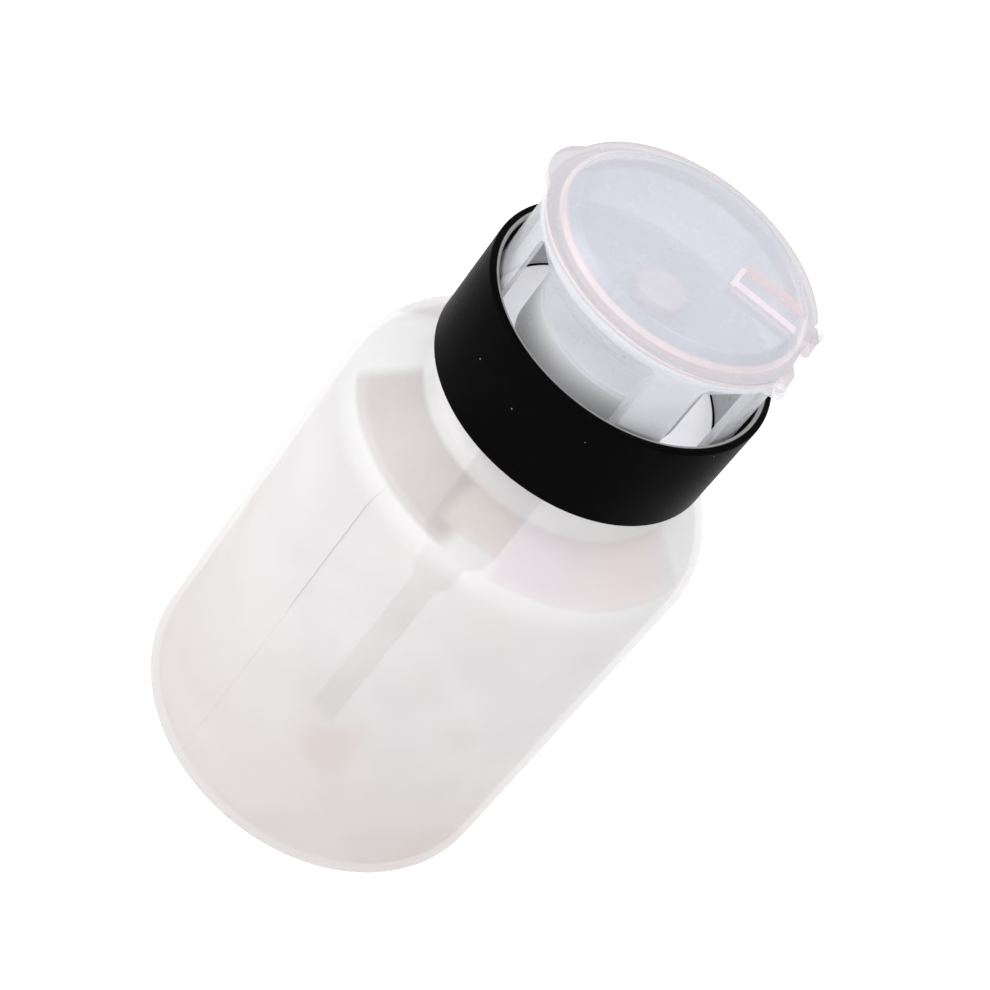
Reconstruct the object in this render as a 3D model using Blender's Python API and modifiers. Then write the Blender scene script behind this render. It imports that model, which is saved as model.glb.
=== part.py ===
"""Press-top dispenser bottle for nail polish remover, with a flip lid over its dish.

The bottle stands on z = 0 with its axis on Z. The lid's hinge is at +X and its thumb tab at -X.
All lengths are in metres and all angles in degrees.
"""

import math

import bmesh
import bpy
from mathutils import Matrix, Vector

# Clearances between neighbouring pieces
SEAT_GAP = 0.0003
SLIDE_GAP = 0.0004
SEAM = 0.0001
OVERRUN = 0.002
WELD = 0.00001

# Steps round a full turn, and along a fillet
LARGE_STEPS = 40
MEDIUM_STEPS = 32
SMALL_STEPS = 20
PIN_STEPS = 12
PORT_STEPS = 8
BALL_STEPS = 14
ARC_STEPS = 6
CHAMFER_STEPS = 1
FILLET_STEPS = 2
CORNER_STEPS = 4
SMALL_FILLET = 0.0006
BIG_FILLET = 0.0025
SHARP_ANGLE = 32

# Bottle
BODY_RADIUS = 0.0310
BOTTLE_WALL = 0.0012
HEEL_RADIUS = 0.0043
BASE_RING_INSET = 0.0065
BASE_RECESS = 0.0012
SHOULDER_RADIUS = 0.0070
SHOULDER_SLOPE = 38
NECK_RADIUS = 0.0159
NECK_WALL = 0.0017
NECK_FILLET = 0.0035
NECK_HEIGHT = 0.0043
NECK_TOP_Z = 0.0895
RIM_ROUND = 0.0004

# Sealing ring between the bottle's rim and the pump
GASKET_THICKNESS = 0.0010
GASKET_MARGIN = 0.0007
GASKET_BORE_MARGIN = 0.0016

# Pump cylinder: flange on top, cup for its bush, chamber, valve seat and tube socket
FLANGE_THICKNESS = 0.0012
FLANGE_MARGIN = 0.0003
CUP_RADIUS = 0.0077
CUP_WALL = 0.0011
CUP_DEPTH = 0.0067
CHAMBER_BORE = 0.0049
CHAMBER_WALL = 0.0011
CHAMBER_LENGTH = 0.0324
SEAT_THROAT = 0.0014
SEAT_PLATE = 0.0010
SOCKET_WALL = 0.0010
SOCKET_DEPTH = 0.0078
HOUSING_ROUND = 0.0008

# Dip tube
TUBE_RADIUS = 0.0023
TUBE_WALL = 0.0007
TUBE_FOOT_GAP = 0.0010
TUBE_NOTCH = 0.0030

# Lower check ball and the cage over it
INLET_BALL_RADIUS = 0.0020
BALL_LIFT = 0.0012
CAGE_CLEARANCE = 0.0006
CAGE_ROOF = 0.0010
CAGE_VENT = 0.0011
CAGE_SLOT_WIDTH = 0.0015
CAGE_SLOT_FOOT = 0.0010

# Piston, its plug and the hollow stem above it
STROKE = 0.0044
PISTON_TOP_ROOM = 0.0018
PISTON_HEIGHT = 0.0058
PISTON_NECK = 0.0016
PISTON_WALL = 0.0012
LIP_DEPTH = 0.0018
LIP_THICKNESS = 0.0006
PLUG_FLANGE_THICKNESS = 0.0012
PLUG_SHANK_LENGTH = 0.0048
STEM_RADIUS = 0.0026
STEM_BORE = 0.0012
STEM_LIP = 0.0006
STEM_DROP = 0.0035
STEM_PORT = 0.0005

# Return spring
SPRING_WIRE = 0.0008
SPRING_ROOM = 0.0015
SPRING_TURNS = 8
POINTS_PER_TURN = 9

# Bush and wiping ring round the stem
WIPER_HEIGHT = 0.0020
CHAPLET_WALL = 0.0010
CHAPLET_TOP_THICKNESS = 0.0010
CHAPLET_TOP_MARGIN = 0.0009

# Screw closure
THREAD_ROOM = 0.0014
CLOSURE_WALL = 0.0016
SHOULDER_CLEARANCE = 0.0005
DECK_THICKNESS = 0.0014
DECK_ROUND = 0.0007
LEDGE_THICKNESS = 0.0008
LEDGE_DROP = 0.0044

# Hub on the deck
SPIGOT_ROOM = 0.0016
SPIGOT_INSET = 0.0025
TURRET_WALL = 0.0013
TURRET_HEIGHT = 0.0087
TURRET_ROUND = 0.0008

# Press head: dish, skirt, boss and windows
DECK_CLEARANCE = 0.0007
SKIRT_WALL = 0.0014
SKIRT_CLEARANCE = 0.0004
SKIRT_RING_HEIGHT = 0.0062
HEAD_RIM_OVERHANG = 0.0009
HEAD_RIM_THICKNESS = 0.0010
HEAD_RIM_WIDTH = 0.0020
DISH_CLEARANCE = 0.0011
DISH_WALL = 0.0012
DISH_DEPTH = 0.0074
DISH_FLAT_RADIUS = 0.0105
DISH_BEND_INSET = 0.0031
DISH_BEND_RISE = 0.0017
DISH_BEND = 0.0060
BOSS_RADIUS = 0.0062
BOSS_WALL = 0.0011
BOSS_CLEARANCE = 0.0015
OUTLET_BALL_RADIUS = 0.0015
OUTLET_LIFT = 0.0008
NIPPLE_WALL = 0.0010
NIPPLE_HOLE = 0.0009
NIPPLE_ROOF = 0.0012
WINDOW_TOP_MARGIN = 0.0005
WINDOW_ROUND = 0.0020
WIDE_WINDOW = (71.0, 144.3)
NARROW_WINDOW = (26.7, 52.0)
POST_RIB_ANGLE = 69.3
POST_RIB_THICKNESS = 0.0013
POST_RIB_DEPTH = 0.0024

# Black sleeve
COLLAR_CLEARANCE = 0.00056
COLLAR_WALL = 0.00157
COLLAR_HEIGHT = 0.01745
COLLAR_LIP = 0.0010
COLLAR_ROUND = 0.0004

# Hinge between the lid and the press head
HINGE_INSET = 0.0008
HINGE_DROP = 0.0006
LID_FLAT_INSET = 0.0006
HEAD_FLAT_INSET = 0.0004
EAR_OFFSET = 0.00505
EAR_WIDTH = 0.0039
EAR_RADIUS = 0.0008
EAR_ROOT = 0.0022
EAR_TOP_INSET = 0.0006
EAR_SLOPE_ANGLE = 40
LUG_WIDTH = 0.0011
LUG_RADIUS = 0.00105
LUG_DRAFT = 0.0004
PIN_RADIUS = 0.00045
PIN_ENGAGE = 0.0010

# Slotted button in the dish
CAP_RADIUS = 0.00395
CAP_ROOF = 0.0011
CAP_ROOM = 0.00075
CAP_SLOTS = 6
CAP_SLOT_TURN = 15
CAP_SLOT_WIDTH = 0.0008
CAP_SLOT_DEPTH = 0.0009
CAP_ROUND = 0.0004

# Flip lid
LID_THICKNESS = 0.0010
LID_FLANGE_WIDTH = 0.0021
PLATEAU_SLOPE_RUN = 0.0019
PLATEAU_RISE = 0.0018
PLATEAU_ROUND = 0.0009
LID_RING_CLEARANCE = 0.0007
LID_RING_WALL = 0.0008
LID_RING_DEPTH = 0.0010
TAB_RADIUS = 0.0090
TAB_REACH = 0.0014
CHANNEL_OFFSET = 0.00395
CHANNEL_WIDTH = 0.0051
CHANNEL_START_X = 0.0076
CHANNEL_WALL = 0.0008
CHANNEL_FLOOR = 0.0010
CHANNEL_FLARE = 0.0026
CHANNEL_ROUND = 0.0020

# Radii that follow from the sizes above
BASE_RING_RADIUS = BODY_RADIUS - BASE_RING_INSET
FLANGE_RADIUS = NECK_RADIUS + FLANGE_MARGIN
CLOSURE_BORE = NECK_RADIUS + THREAD_ROOM
CLOSURE_RADIUS = CLOSURE_BORE + CLOSURE_WALL
SKIRT_BORE = CLOSURE_RADIUS + DECK_CLEARANCE
SKIRT_RADIUS = SKIRT_BORE + SKIRT_WALL
COLLAR_BORE = SKIRT_RADIUS + COLLAR_CLEARANCE
COLLAR_RADIUS = COLLAR_BORE + COLLAR_WALL
HEAD_RIM_RADIUS = SKIRT_RADIUS + HEAD_RIM_OVERHANG
DISH_RIM_RADIUS = HEAD_RIM_RADIUS - HEAD_RIM_WIDTH
DISH_BEND_RADIUS = DISH_RIM_RADIUS - DISH_BEND_INSET
LID_RADIUS = HEAD_RIM_RADIUS
LID_RING_RADIUS = DISH_RIM_RADIUS - LID_RING_CLEARANCE
PLATEAU_FOOT_RADIUS = LID_RADIUS - LID_FLANGE_WIDTH
PLATEAU_RADIUS = PLATEAU_FOOT_RADIUS - PLATEAU_SLOPE_RUN
CHAMBER_RADIUS = CHAMBER_BORE + CHAMBER_WALL
CUP_BORE = CUP_RADIUS - CUP_WALL
CHAPLET_TOP_RADIUS = CUP_RADIUS + CHAPLET_TOP_MARGIN
SPIGOT_BORE = CHAPLET_TOP_RADIUS + SPIGOT_ROOM
SPIGOT_RADIUS = SPIGOT_BORE + TURRET_WALL
TURRET_RADIUS = SPIGOT_RADIUS + SPIGOT_INSET
CAGE_BORE = INLET_BALL_RADIUS + CAGE_CLEARANCE
SEAT_MOUTH = CAGE_BORE
TUBE_BORE = TUBE_RADIUS - TUBE_WALL
SOCKET_BORE = TUBE_RADIUS + SEAT_GAP
SOCKET_RADIUS = SOCKET_BORE + SOCKET_WALL
SPRING_RADIUS = CHAMBER_BORE - SPRING_ROOM
PLUG_FLANGE_RADIUS = SPRING_RADIUS + SPRING_WIRE / 4
STEM_MOUTH = STEM_RADIUS - STEM_LIP
VALVE_BORE = OUTLET_BALL_RADIUS + SLIDE_GAP
NIPPLE_RADIUS = VALVE_BORE + NIPPLE_WALL

# Heights that follow from the sizes above
NECK_FOOT_Z = NECK_TOP_Z - NECK_HEIGHT
GASKET_Z = NECK_TOP_Z + SEAT_GAP
FLANGE_Z = GASKET_Z + GASKET_THICKNESS + SEAT_GAP
FLANGE_TOP_Z = FLANGE_Z + FLANGE_THICKNESS
CUP_FLOOR_Z = FLANGE_Z - CUP_DEPTH
CHAMBER_FLOOR_Z = CUP_FLOOR_Z - CHAMBER_LENGTH
SEAT_THROAT_Z = CHAMBER_FLOOR_Z - (SEAT_MOUTH - SEAT_THROAT)
SEAT_PLATE_Z = SEAT_THROAT_Z - SEAT_PLATE
SOCKET_BOTTOM_Z = SEAT_PLATE_Z - SOCKET_DEPTH
TUBE_TOP_Z = SEAT_PLATE_Z - SEAT_GAP
TUBE_BOTTOM_Z = BASE_RECESS + BOTTLE_WALL + TUBE_FOOT_GAP
DECK_Z = FLANGE_TOP_Z + SEAT_GAP
DECK_TOP_Z = DECK_Z + DECK_THICKNESS
LEDGE_Z = DECK_Z - LEDGE_DROP
LEDGE_TOP_Z = LEDGE_Z + LEDGE_THICKNESS
COLLAR_BOTTOM_Z = LEDGE_Z - SEAT_GAP - COLLAR_LIP
COLLAR_TOP_Z = COLLAR_BOTTOM_Z + COLLAR_HEIGHT
TURRET_Z = DECK_TOP_Z + SEAT_GAP
TURRET_FLOOR_Z = TURRET_Z + TURRET_WALL
TURRET_TOP_Z = TURRET_Z + TURRET_HEIGHT
SKIRT_BOTTOM_Z = LEDGE_TOP_Z + STROKE + SKIRT_CLEARANCE
BOSS_BOTTOM_Z = TURRET_FLOOR_Z + STROKE + BOSS_CLEARANCE
DISH_FLOOR_Z = TURRET_TOP_Z + STROKE + DISH_CLEARANCE + DISH_WALL
DISH_BEND_Z = DISH_FLOOR_Z + DISH_BEND_RISE
HEAD_RIM_TOP_Z = DISH_FLOOR_Z + DISH_DEPTH
HEAD_RIM_Z = HEAD_RIM_TOP_Z - HEAD_RIM_THICKNESS
WINDOW_BOTTOM_Z = SKIRT_BOTTOM_Z + SKIRT_RING_HEIGHT
WINDOW_TOP_Z = HEAD_RIM_Z - WINDOW_TOP_MARGIN
STEM_TOP_Z = DISH_FLOOR_Z - STEM_DROP
LID_Z = HEAD_RIM_TOP_Z + SEAT_GAP
LID_TOP_Z = LID_Z + LID_THICKNESS
PLATEAU_TOP_Z = LID_TOP_Z + PLATEAU_RISE
HINGE_X = LID_RADIUS - HINGE_INSET
HINGE_Z = HEAD_RIM_TOP_Z - HINGE_DROP
HINGE = Vector((HINGE_X, 0, HINGE_Z))
EAR_FACE = EAR_OFFSET + EAR_WIDTH / 2


def cone_ball_centre(mouth_radius, mouth_z, ball_radius):
    """Height of a ball's centre over a 45 degree seat, standing off by the seat gap."""
    apex_z = mouth_z - mouth_radius
    return apex_z + math.sqrt(2) * (ball_radius + SEAT_GAP)


INLET_BALL_Z = cone_ball_centre(SEAT_MOUTH, CHAMBER_FLOOR_Z, INLET_BALL_RADIUS)
OUTLET_BALL_Z = cone_ball_centre(STEM_MOUTH, STEM_TOP_Z, OUTLET_BALL_RADIUS)
CAGE_ROOF_Z = INLET_BALL_Z + INLET_BALL_RADIUS + BALL_LIFT + SEAT_GAP
CAGE_TOP_Z = CAGE_ROOF_Z + CAGE_ROOF
WIPER_Z = CUP_FLOOR_Z + SEAT_GAP
CHAPLET_Z = WIPER_Z + WIPER_HEIGHT + SEAT_GAP
PISTON_Z = WIPER_Z - PISTON_TOP_ROOM - PISTON_HEIGHT
STEM_Z = PISTON_Z + PISTON_HEIGHT + SEAT_GAP
PLUG_FLANGE_TOP_Z = PISTON_Z - SEAT_GAP
PLUG_Z = PLUG_FLANGE_TOP_Z - PLUG_FLANGE_THICKNESS
SPRING_Z = CAGE_TOP_Z + SEAT_GAP
SPRING_TOP_Z = PLUG_Z - SEAT_GAP
SOCKET_SHOULDER_Z = STEM_TOP_Z + SEAT_GAP
VALVE_ROOF_Z = OUTLET_BALL_Z + OUTLET_BALL_RADIUS + OUTLET_LIFT + SEAT_GAP
NIPPLE_TOP_Z = VALVE_ROOF_Z + NIPPLE_ROOF
CAP_Z = DISH_FLOOR_Z + SEAT_GAP
CAP_ROOF_Z = NIPPLE_TOP_Z + CAP_ROOM
CAP_TOP_Z = CAP_ROOF_Z + CAP_ROOF


def clear_scene():
    for old in list(bpy.data.objects):
        bpy.data.objects.remove(old, do_unlink=True)


def collection(name):
    made = bpy.data.collections.new(name)
    bpy.context.scene.collection.children.link(made)
    return made


def plastic(name, colour, roughness, metallic=0.0, alpha=1.0):
    """A Principled material in linear colour."""
    made = bpy.data.materials.new(name)
    made.use_nodes = True
    shader = made.node_tree.nodes["Principled BSDF"]
    shader.inputs["Base Color"].default_value = (*colour, 1)
    shader.inputs["Roughness"].default_value = roughness
    shader.inputs["Metallic"].default_value = metallic
    shader.inputs["Alpha"].default_value = alpha
    made.diffuse_color = (*colour, alpha)
    return made


def fillet(before, corner, after, radius):
    """Points of an arc that rounds one corner of an outline, limited by the sides it sits between."""
    corner = Vector(corner)
    to_before = Vector(before) - corner
    to_after = Vector(after) - corner
    angle = to_before.angle(to_after)
    reach = min(radius / math.tan(angle / 2), to_before.length / 2, to_after.length / 2)
    fitted = reach * math.tan(angle / 2)
    middle = (to_before.normalized() + to_after.normalized()).normalized()
    centre = corner + middle * fitted / math.sin(angle / 2)
    start = corner + to_before.normalized() * reach - centre
    end = corner + to_after.normalized() * reach - centre
    steps = CORNER_STEPS if radius >= BIG_FILLET else FILLET_STEPS
    if radius < SMALL_FILLET:
        steps = CHAMFER_STEPS
    turn = start.angle_signed(end)
    return [centre + Matrix.Rotation(-turn * i / steps, 2) @ start for i in range(steps + 1)]


def outline(corners, closed=False):
    """Turn corners (x, z) or (x, z, fillet radius) into the points of a profile."""
    points = []
    last = len(corners) - 1
    for i, corner in enumerate(corners):
        inner = closed or 0 < i < last
        if len(corner) == 3 and inner:
            before = corners[i - 1][:2]
            after = corners[(i + 1) % len(corners)][:2]
            points += fillet(before, corner[:2], after, corner[2])
        else:
            points.append(Vector(corner[:2]))
    return points


def add_object(name, mesh, group):
    made = bpy.data.objects.new(name, mesh)
    group.objects.link(made)
    if group == cutters:
        made.hide_render = True
        made.display_type = "WIRE"
    return made


def turned(name, corners, steps, closed=True, group=None):
    """Spin a profile round Z. The profile runs down its outer side, from top to bottom."""
    points = outline(corners, closed)
    edges = [(i, i + 1) for i in range(len(points) - 1)]
    if closed:
        edges.append((len(points) - 1, 0))
    mesh = bpy.data.meshes.new(name)
    mesh.from_pydata([(point.x, 0, point.y) for point in points], edges, [])
    made = add_object(name, mesh, group or parts)
    screw = made.modifiers.new("turn", "SCREW")
    screw.axis = "Z"
    screw.steps = steps
    screw.render_steps = steps
    screw.use_merge_vertices = True
    screw.merge_threshold = WELD
    return made


def block(name, low, high, group=None):
    """A box between two corners."""
    low = Vector(low)
    high = Vector(high)
    mesh = bpy.data.meshes.new(name)
    shape = bmesh.new()
    bmesh.ops.create_cube(shape, size=1)
    bmesh.ops.scale(shape, vec=high - low, verts=shape.verts)
    bmesh.ops.translate(shape, vec=(low + high) / 2, verts=shape.verts)
    shape.to_mesh(mesh)
    shape.free()
    return add_object(name, mesh, group or cutters)


def rod(name, radius, start, end, steps=SMALL_STEPS, end_radius=None, group=None):
    """A cylinder, or a cone where the end radius differs, from one point to another."""
    start = Vector(start)
    end = Vector(end)
    along = end - start
    mesh = bpy.data.meshes.new(name)
    shape = bmesh.new()
    bmesh.ops.create_cone(
        shape,
        cap_ends=True,
        segments=steps,
        radius1=radius,
        radius2=radius if end_radius is None else end_radius,
        depth=along.length,
    )
    turn = along.to_track_quat("Z", "Y").to_matrix().to_4x4()
    bmesh.ops.transform(shape, matrix=Matrix.Translation((start + end) / 2) @ turn, verts=shape.verts)
    shape.to_mesh(mesh)
    shape.free()
    return add_object(name, mesh, group or cutters)


def solid_from_curve(name, curve, group):
    """Swap a curve object for the closed mesh that it shows, its caps welded on."""
    shown = bpy.data.objects.new(f"{name}_curve", curve)
    group.objects.link(shown)
    bpy.context.view_layer.update()
    mesh = bpy.data.meshes.new_from_object(shown.evaluated_get(bpy.context.evaluated_depsgraph_get()))
    made = add_object(name, mesh, group)
    made.matrix_world = shown.matrix_world
    bpy.data.objects.remove(shown)
    shape = bmesh.new()
    shape.from_mesh(mesh)
    bmesh.ops.remove_doubles(shape, verts=shape.verts, dist=WELD)
    bmesh.ops.recalc_face_normals(shape, faces=shape.faces)
    shape.to_mesh(mesh)
    shape.free()
    return made


def polyline(curve, points, cyclic=False):
    spline = curve.splines.new("POLY")
    spline.points.add(len(points) - 1)
    for place, point in zip(spline.points, points):
        place.co = (*point, 1)
    spline.use_cyclic_u = cyclic


def slab(name, corners, low_z, high_z):
    """A flat outline of (x, y) corners, given a thickness along Z."""
    curve = bpy.data.curves.new(name, "CURVE")
    curve.dimensions = "2D"
    curve.fill_mode = "BOTH"
    curve.extrude = (high_z - low_z) / 2
    polyline(curve, [(x, y, 0) for x, y in corners], cyclic=True)
    made = solid_from_curve(name, curve, cutters)
    made.data.transform(Matrix.Translation((0, 0, (low_z + high_z) / 2)))
    return made


def plate(name, corners, low_y, high_y):
    """A flat outline of (x, z) corners, given a thickness along Y."""
    made = slab(name, corners, -high_y, -low_y)
    made.data.transform(Matrix.Rotation(math.radians(90), 4, "X"))
    return made


def round_end(radius, start_angle, end_angle, steps):
    """Points (x, z) on an arc about the hinge axis, angles from +X towards +Z."""
    points = []
    for i in range(steps + 1):
        angle = math.radians(start_angle + (end_angle - start_angle) * i / steps)
        points.append((HINGE_X + radius * math.cos(angle), HINGE_Z + radius * math.sin(angle)))
    return points


def combine(target, tool, operation):
    change = target.modifiers.new(operation.lower(), "BOOLEAN")
    change.operation = operation
    change.solver = "EXACT"
    change.object = tool


def cut(target, *tools):
    for tool in tools:
        combine(target, tool, "DIFFERENCE")


def join(target, *tools):
    for tool in tools:
        combine(target, tool, "UNION")


def finish(piece, material, origin=(0, 0, 0)):
    """Bake the modifiers, shade round faces smooth, give the material and place the origin."""
    bpy.context.view_layer.update()
    graph = bpy.context.evaluated_depsgraph_get()
    mesh = bpy.data.meshes.new_from_object(piece.evaluated_get(graph))
    mesh.name = piece.name
    piece.modifiers.clear()
    piece.data = mesh
    mesh.transform(Matrix.Translation(-Vector(origin)))
    piece.location = origin
    mesh.shade_smooth()
    mesh.set_sharp_from_angle(angle=math.radians(SHARP_ANGLE))
    mesh.materials.clear()
    mesh.materials.append(material)
    return piece


def polar(radius, angle, z):
    return (radius * math.cos(math.radians(angle)), radius * math.sin(math.radians(angle)), z)


def shoulder_corners(inset):
    """Corners from the neck's foot down to the body, moved in by a wall thickness."""
    slope = math.radians(SHOULDER_SLOPE)
    radius = BODY_RADIUS - inset
    neck = NECK_RADIUS - (NECK_WALL if inset else 0)
    neck_round = RIM_ROUND if inset else NECK_FILLET
    corner_z = NECK_FOOT_Z - (BODY_RADIUS - NECK_RADIUS) * math.tan(slope)
    corner_z -= inset * (1 / math.cos(slope) - math.tan(slope))
    foot_z = corner_z + (radius - neck) * math.tan(slope)
    return [(neck, foot_z, neck_round), (radius, corner_z, SHOULDER_RADIUS - inset)]


def bottle_material():
    return plastic("milky_bottle_plastic", (0.80, 0.79, 0.80), 0.35, alpha=0.75)


def bottle():
    bore = NECK_RADIUS - NECK_WALL
    inside = BODY_RADIUS - BOTTLE_WALL
    floor_z = BASE_RECESS + BOTTLE_WALL
    inner = [
        (0, floor_z),
        (BASE_RING_RADIUS - BOTTLE_WALL, floor_z),
        (BASE_RING_RADIUS, BOTTLE_WALL),
        (inside, BOTTLE_WALL, HEEL_RADIUS - BOTTLE_WALL),
    ]
    outer = [
        (BODY_RADIUS, 0, HEEL_RADIUS),
        (BASE_RING_RADIUS, 0, RIM_ROUND),
        (BASE_RING_RADIUS - BASE_RECESS, BASE_RECESS, RIM_ROUND),
        (0, BASE_RECESS),
    ]
    rim = [(bore, NECK_TOP_Z, RIM_ROUND), (NECK_RADIUS, NECK_TOP_Z, RIM_ROUND)]
    profile = inner + shoulder_corners(BOTTLE_WALL)[::-1] + rim + shoulder_corners(0) + outer
    return finish(turned("bottle", profile, LARGE_STEPS, closed=False), bottle_material())


def gasket_material():
    return plastic("foam_liner", (0.72, 0.72, 0.70), 0.8)


def neck_gasket():
    outer = NECK_RADIUS + GASKET_MARGIN
    inner = NECK_RADIUS - NECK_WALL - GASKET_BORE_MARGIN
    top = GASKET_Z + GASKET_THICKNESS
    ring = turned("neck_gasket", [(outer, top), (outer, GASKET_Z), (inner, GASKET_Z), (inner, top)], MEDIUM_STEPS)
    return finish(ring, gasket_material())


def housing_material():
    return plastic("pump_body_plastic", (0.70, 0.71, 0.72), 0.4)


def pump_housing():
    profile = [
        (FLANGE_RADIUS, FLANGE_TOP_Z),
        (FLANGE_RADIUS, FLANGE_Z),
        (CUP_RADIUS, FLANGE_Z, HOUSING_ROUND),
        (CUP_RADIUS, CUP_FLOOR_Z - CUP_WALL, HOUSING_ROUND),
        (CHAMBER_RADIUS, CUP_FLOOR_Z - CUP_WALL - (CUP_RADIUS - CHAMBER_RADIUS)),
        (CHAMBER_RADIUS, SEAT_THROAT_Z, HOUSING_ROUND),
        (SOCKET_RADIUS, SEAT_PLATE_Z - SOCKET_WALL, HOUSING_ROUND),
        (SOCKET_RADIUS, SOCKET_BOTTOM_Z),
        (SOCKET_BORE, SOCKET_BOTTOM_Z),
        (SOCKET_BORE, SEAT_PLATE_Z),
        (SEAT_THROAT, SEAT_PLATE_Z),
        (SEAT_THROAT, SEAT_THROAT_Z),
        (SEAT_MOUTH, CHAMBER_FLOOR_Z),
        (CHAMBER_BORE, CHAMBER_FLOOR_Z),
        (CHAMBER_BORE, CUP_FLOOR_Z),
        (CUP_BORE, CUP_FLOOR_Z),
        (CUP_BORE, FLANGE_TOP_Z),
    ]
    return finish(turned("pump_housing", profile, SMALL_STEPS), housing_material())


def bush_material():
    return plastic("bush_plastic", (0.78, 0.78, 0.76), 0.45)


def housing_chaplet():
    """Bush pushed into the cup: a wall against the cup, a sleeve round the stem and a flange on top."""
    outer = CUP_BORE - SEAT_GAP
    bore = STEM_RADIUS + SLIDE_GAP
    flange_z = FLANGE_TOP_Z + SEAT_GAP
    top = flange_z + CHAPLET_TOP_THICKNESS
    profile = [
        (CHAPLET_TOP_RADIUS, top),
        (CHAPLET_TOP_RADIUS, flange_z),
        (outer, flange_z),
        (outer, CHAPLET_Z),
        (outer - CHAPLET_WALL, CHAPLET_Z),
        (outer - CHAPLET_WALL, flange_z),
        (bore + CHAPLET_WALL, flange_z),
        (bore + CHAPLET_WALL, CHAPLET_Z),
        (bore, CHAPLET_Z),
        (bore, top),
    ]
    return finish(turned("housing_chaplet", profile, SMALL_STEPS), bush_material())


def seal_material():
    return plastic("soft_seal_plastic", (0.82, 0.82, 0.80), 0.55)


def stem_wiper():
    outer = CUP_BORE - SEAT_GAP
    bore = STEM_RADIUS + SEAT_GAP
    top = WIPER_Z + WIPER_HEIGHT
    step = WIPER_Z + WIPER_HEIGHT / 2
    profile = [
        (outer, top),
        (outer, WIPER_Z),
        (bore + PISTON_WALL, WIPER_Z),
        (bore, step),
        (bore, top),
    ]
    return finish(turned("stem_wiper", profile, SMALL_STEPS), seal_material())


def tube_material():
    return plastic("dip_tube_plastic", (0.66, 0.65, 0.64), 0.35)


def dip_tube():
    """Straight tube with a V cut across its foot, so that the floor can't close it."""
    profile = [
        (TUBE_RADIUS, TUBE_TOP_Z),
        (TUBE_RADIUS, TUBE_BOTTOM_Z),
        (TUBE_BORE, TUBE_BOTTOM_Z),
        (TUBE_BORE, TUBE_TOP_Z),
    ]
    tube = turned("dip_tube", profile, SMALL_STEPS)
    half = TUBE_NOTCH / 2
    side = TUBE_NOTCH / math.sqrt(2)
    notch = block("tube_notch", (-side / 2, -TUBE_RADIUS - half, -side / 2), (side / 2, TUBE_RADIUS + half, side / 2))
    notch.data.transform(Matrix.Translation((0, 0, TUBE_BOTTOM_Z)) @ Matrix.Rotation(math.radians(45), 4, "Y"))
    cut(tube, notch)
    return finish(tube, tube_material())


def ball_material(name):
    return plastic(name, (0.75, 0.75, 0.76), 0.18, metallic=0.9)


def ball(name, radius, height, material):
    mesh = bpy.data.meshes.new(name)
    shape = bmesh.new()
    bmesh.ops.create_uvsphere(shape, u_segments=BALL_STEPS, v_segments=BALL_STEPS // 2, radius=radius)
    shape.to_mesh(mesh)
    shape.free()
    made = add_object(name, mesh, parts)
    finish(made, material)
    made.location.z = height
    return made


def cage_material():
    return plastic("valve_cage_plastic", (0.74, 0.74, 0.73), 0.45)


def ball_cage():
    """Short cup upside down over the inlet ball, slotted for the flow and vented on top."""
    outer = CHAMBER_BORE - SEAT_GAP
    foot_z = CHAMBER_FLOOR_Z + SEAT_GAP
    profile = [
        (outer, CAGE_TOP_Z),
        (outer, foot_z),
        (CAGE_BORE, foot_z),
        (CAGE_BORE, CAGE_ROOF_Z),
        (CAGE_VENT, CAGE_ROOF_Z),
        (CAGE_VENT, CAGE_TOP_Z),
    ]
    cage = turned("ball_cage", profile, SMALL_STEPS)
    half = CAGE_SLOT_WIDTH / 2
    reach = outer + OVERRUN
    low_z = foot_z + CAGE_SLOT_FOOT
    cut(
        cage,
        block("cage_slot_x", (-reach, -half, low_z), (reach, half, CAGE_ROOF_Z)),
        block("cage_slot_y", (-half, -reach, low_z), (half, reach, CAGE_ROOF_Z)),
    )
    return finish(cage, cage_material())


def spring_material():
    return plastic("spring_steel", (0.55, 0.55, 0.56), 0.25, metallic=1.0)


def spring_points():
    """Points along the wire: an end run of one wire diameter, the curls, and another end run."""
    wire = SPRING_WIRE / 2
    low = SPRING_Z + wire
    high = SPRING_TOP_Z - wire
    count = SPRING_TURNS * POINTS_PER_TURN
    curls = []
    for i in range(count + 1):
        share = i / count
        angle = 360 * SPRING_TURNS * share
        curls.append(Vector(polar(SPRING_RADIUS, angle, low + (high - low) * share)))
    lead = (curls[1] - curls[0]).cross(Vector((0, 0, 1))).cross(Vector((0, 0, 1))).normalized() * SPRING_WIRE
    trail = (curls[-1] - curls[-2]).cross(Vector((0, 0, 1))).cross(Vector((0, 0, 1))).normalized() * SPRING_WIRE
    return [curls[0] + lead] + curls + [curls[-1] - trail]


def least_turn_gap(points):
    """Least clear distance between the wire's points that lie more than half a turn apart."""
    apart = POINTS_PER_TURN // 2 + 1
    nearest = min((a - b).length for i, a in enumerate(points) for b in points[i + apart :])
    return nearest - SPRING_WIRE


def return_spring():
    points = spring_points()
    print(f"return_spring: least gap to itself {least_turn_gap(points) * 1000:.2f} mm")
    curve = bpy.data.curves.new("return_spring", "CURVE")
    curve.dimensions = "3D"
    curve.bevel_depth = SPRING_WIRE / 2
    curve.bevel_resolution = 1
    curve.use_fill_caps = True
    polyline(curve, points)
    return finish(solid_from_curve("return_spring", curve, parts), spring_material())


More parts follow.
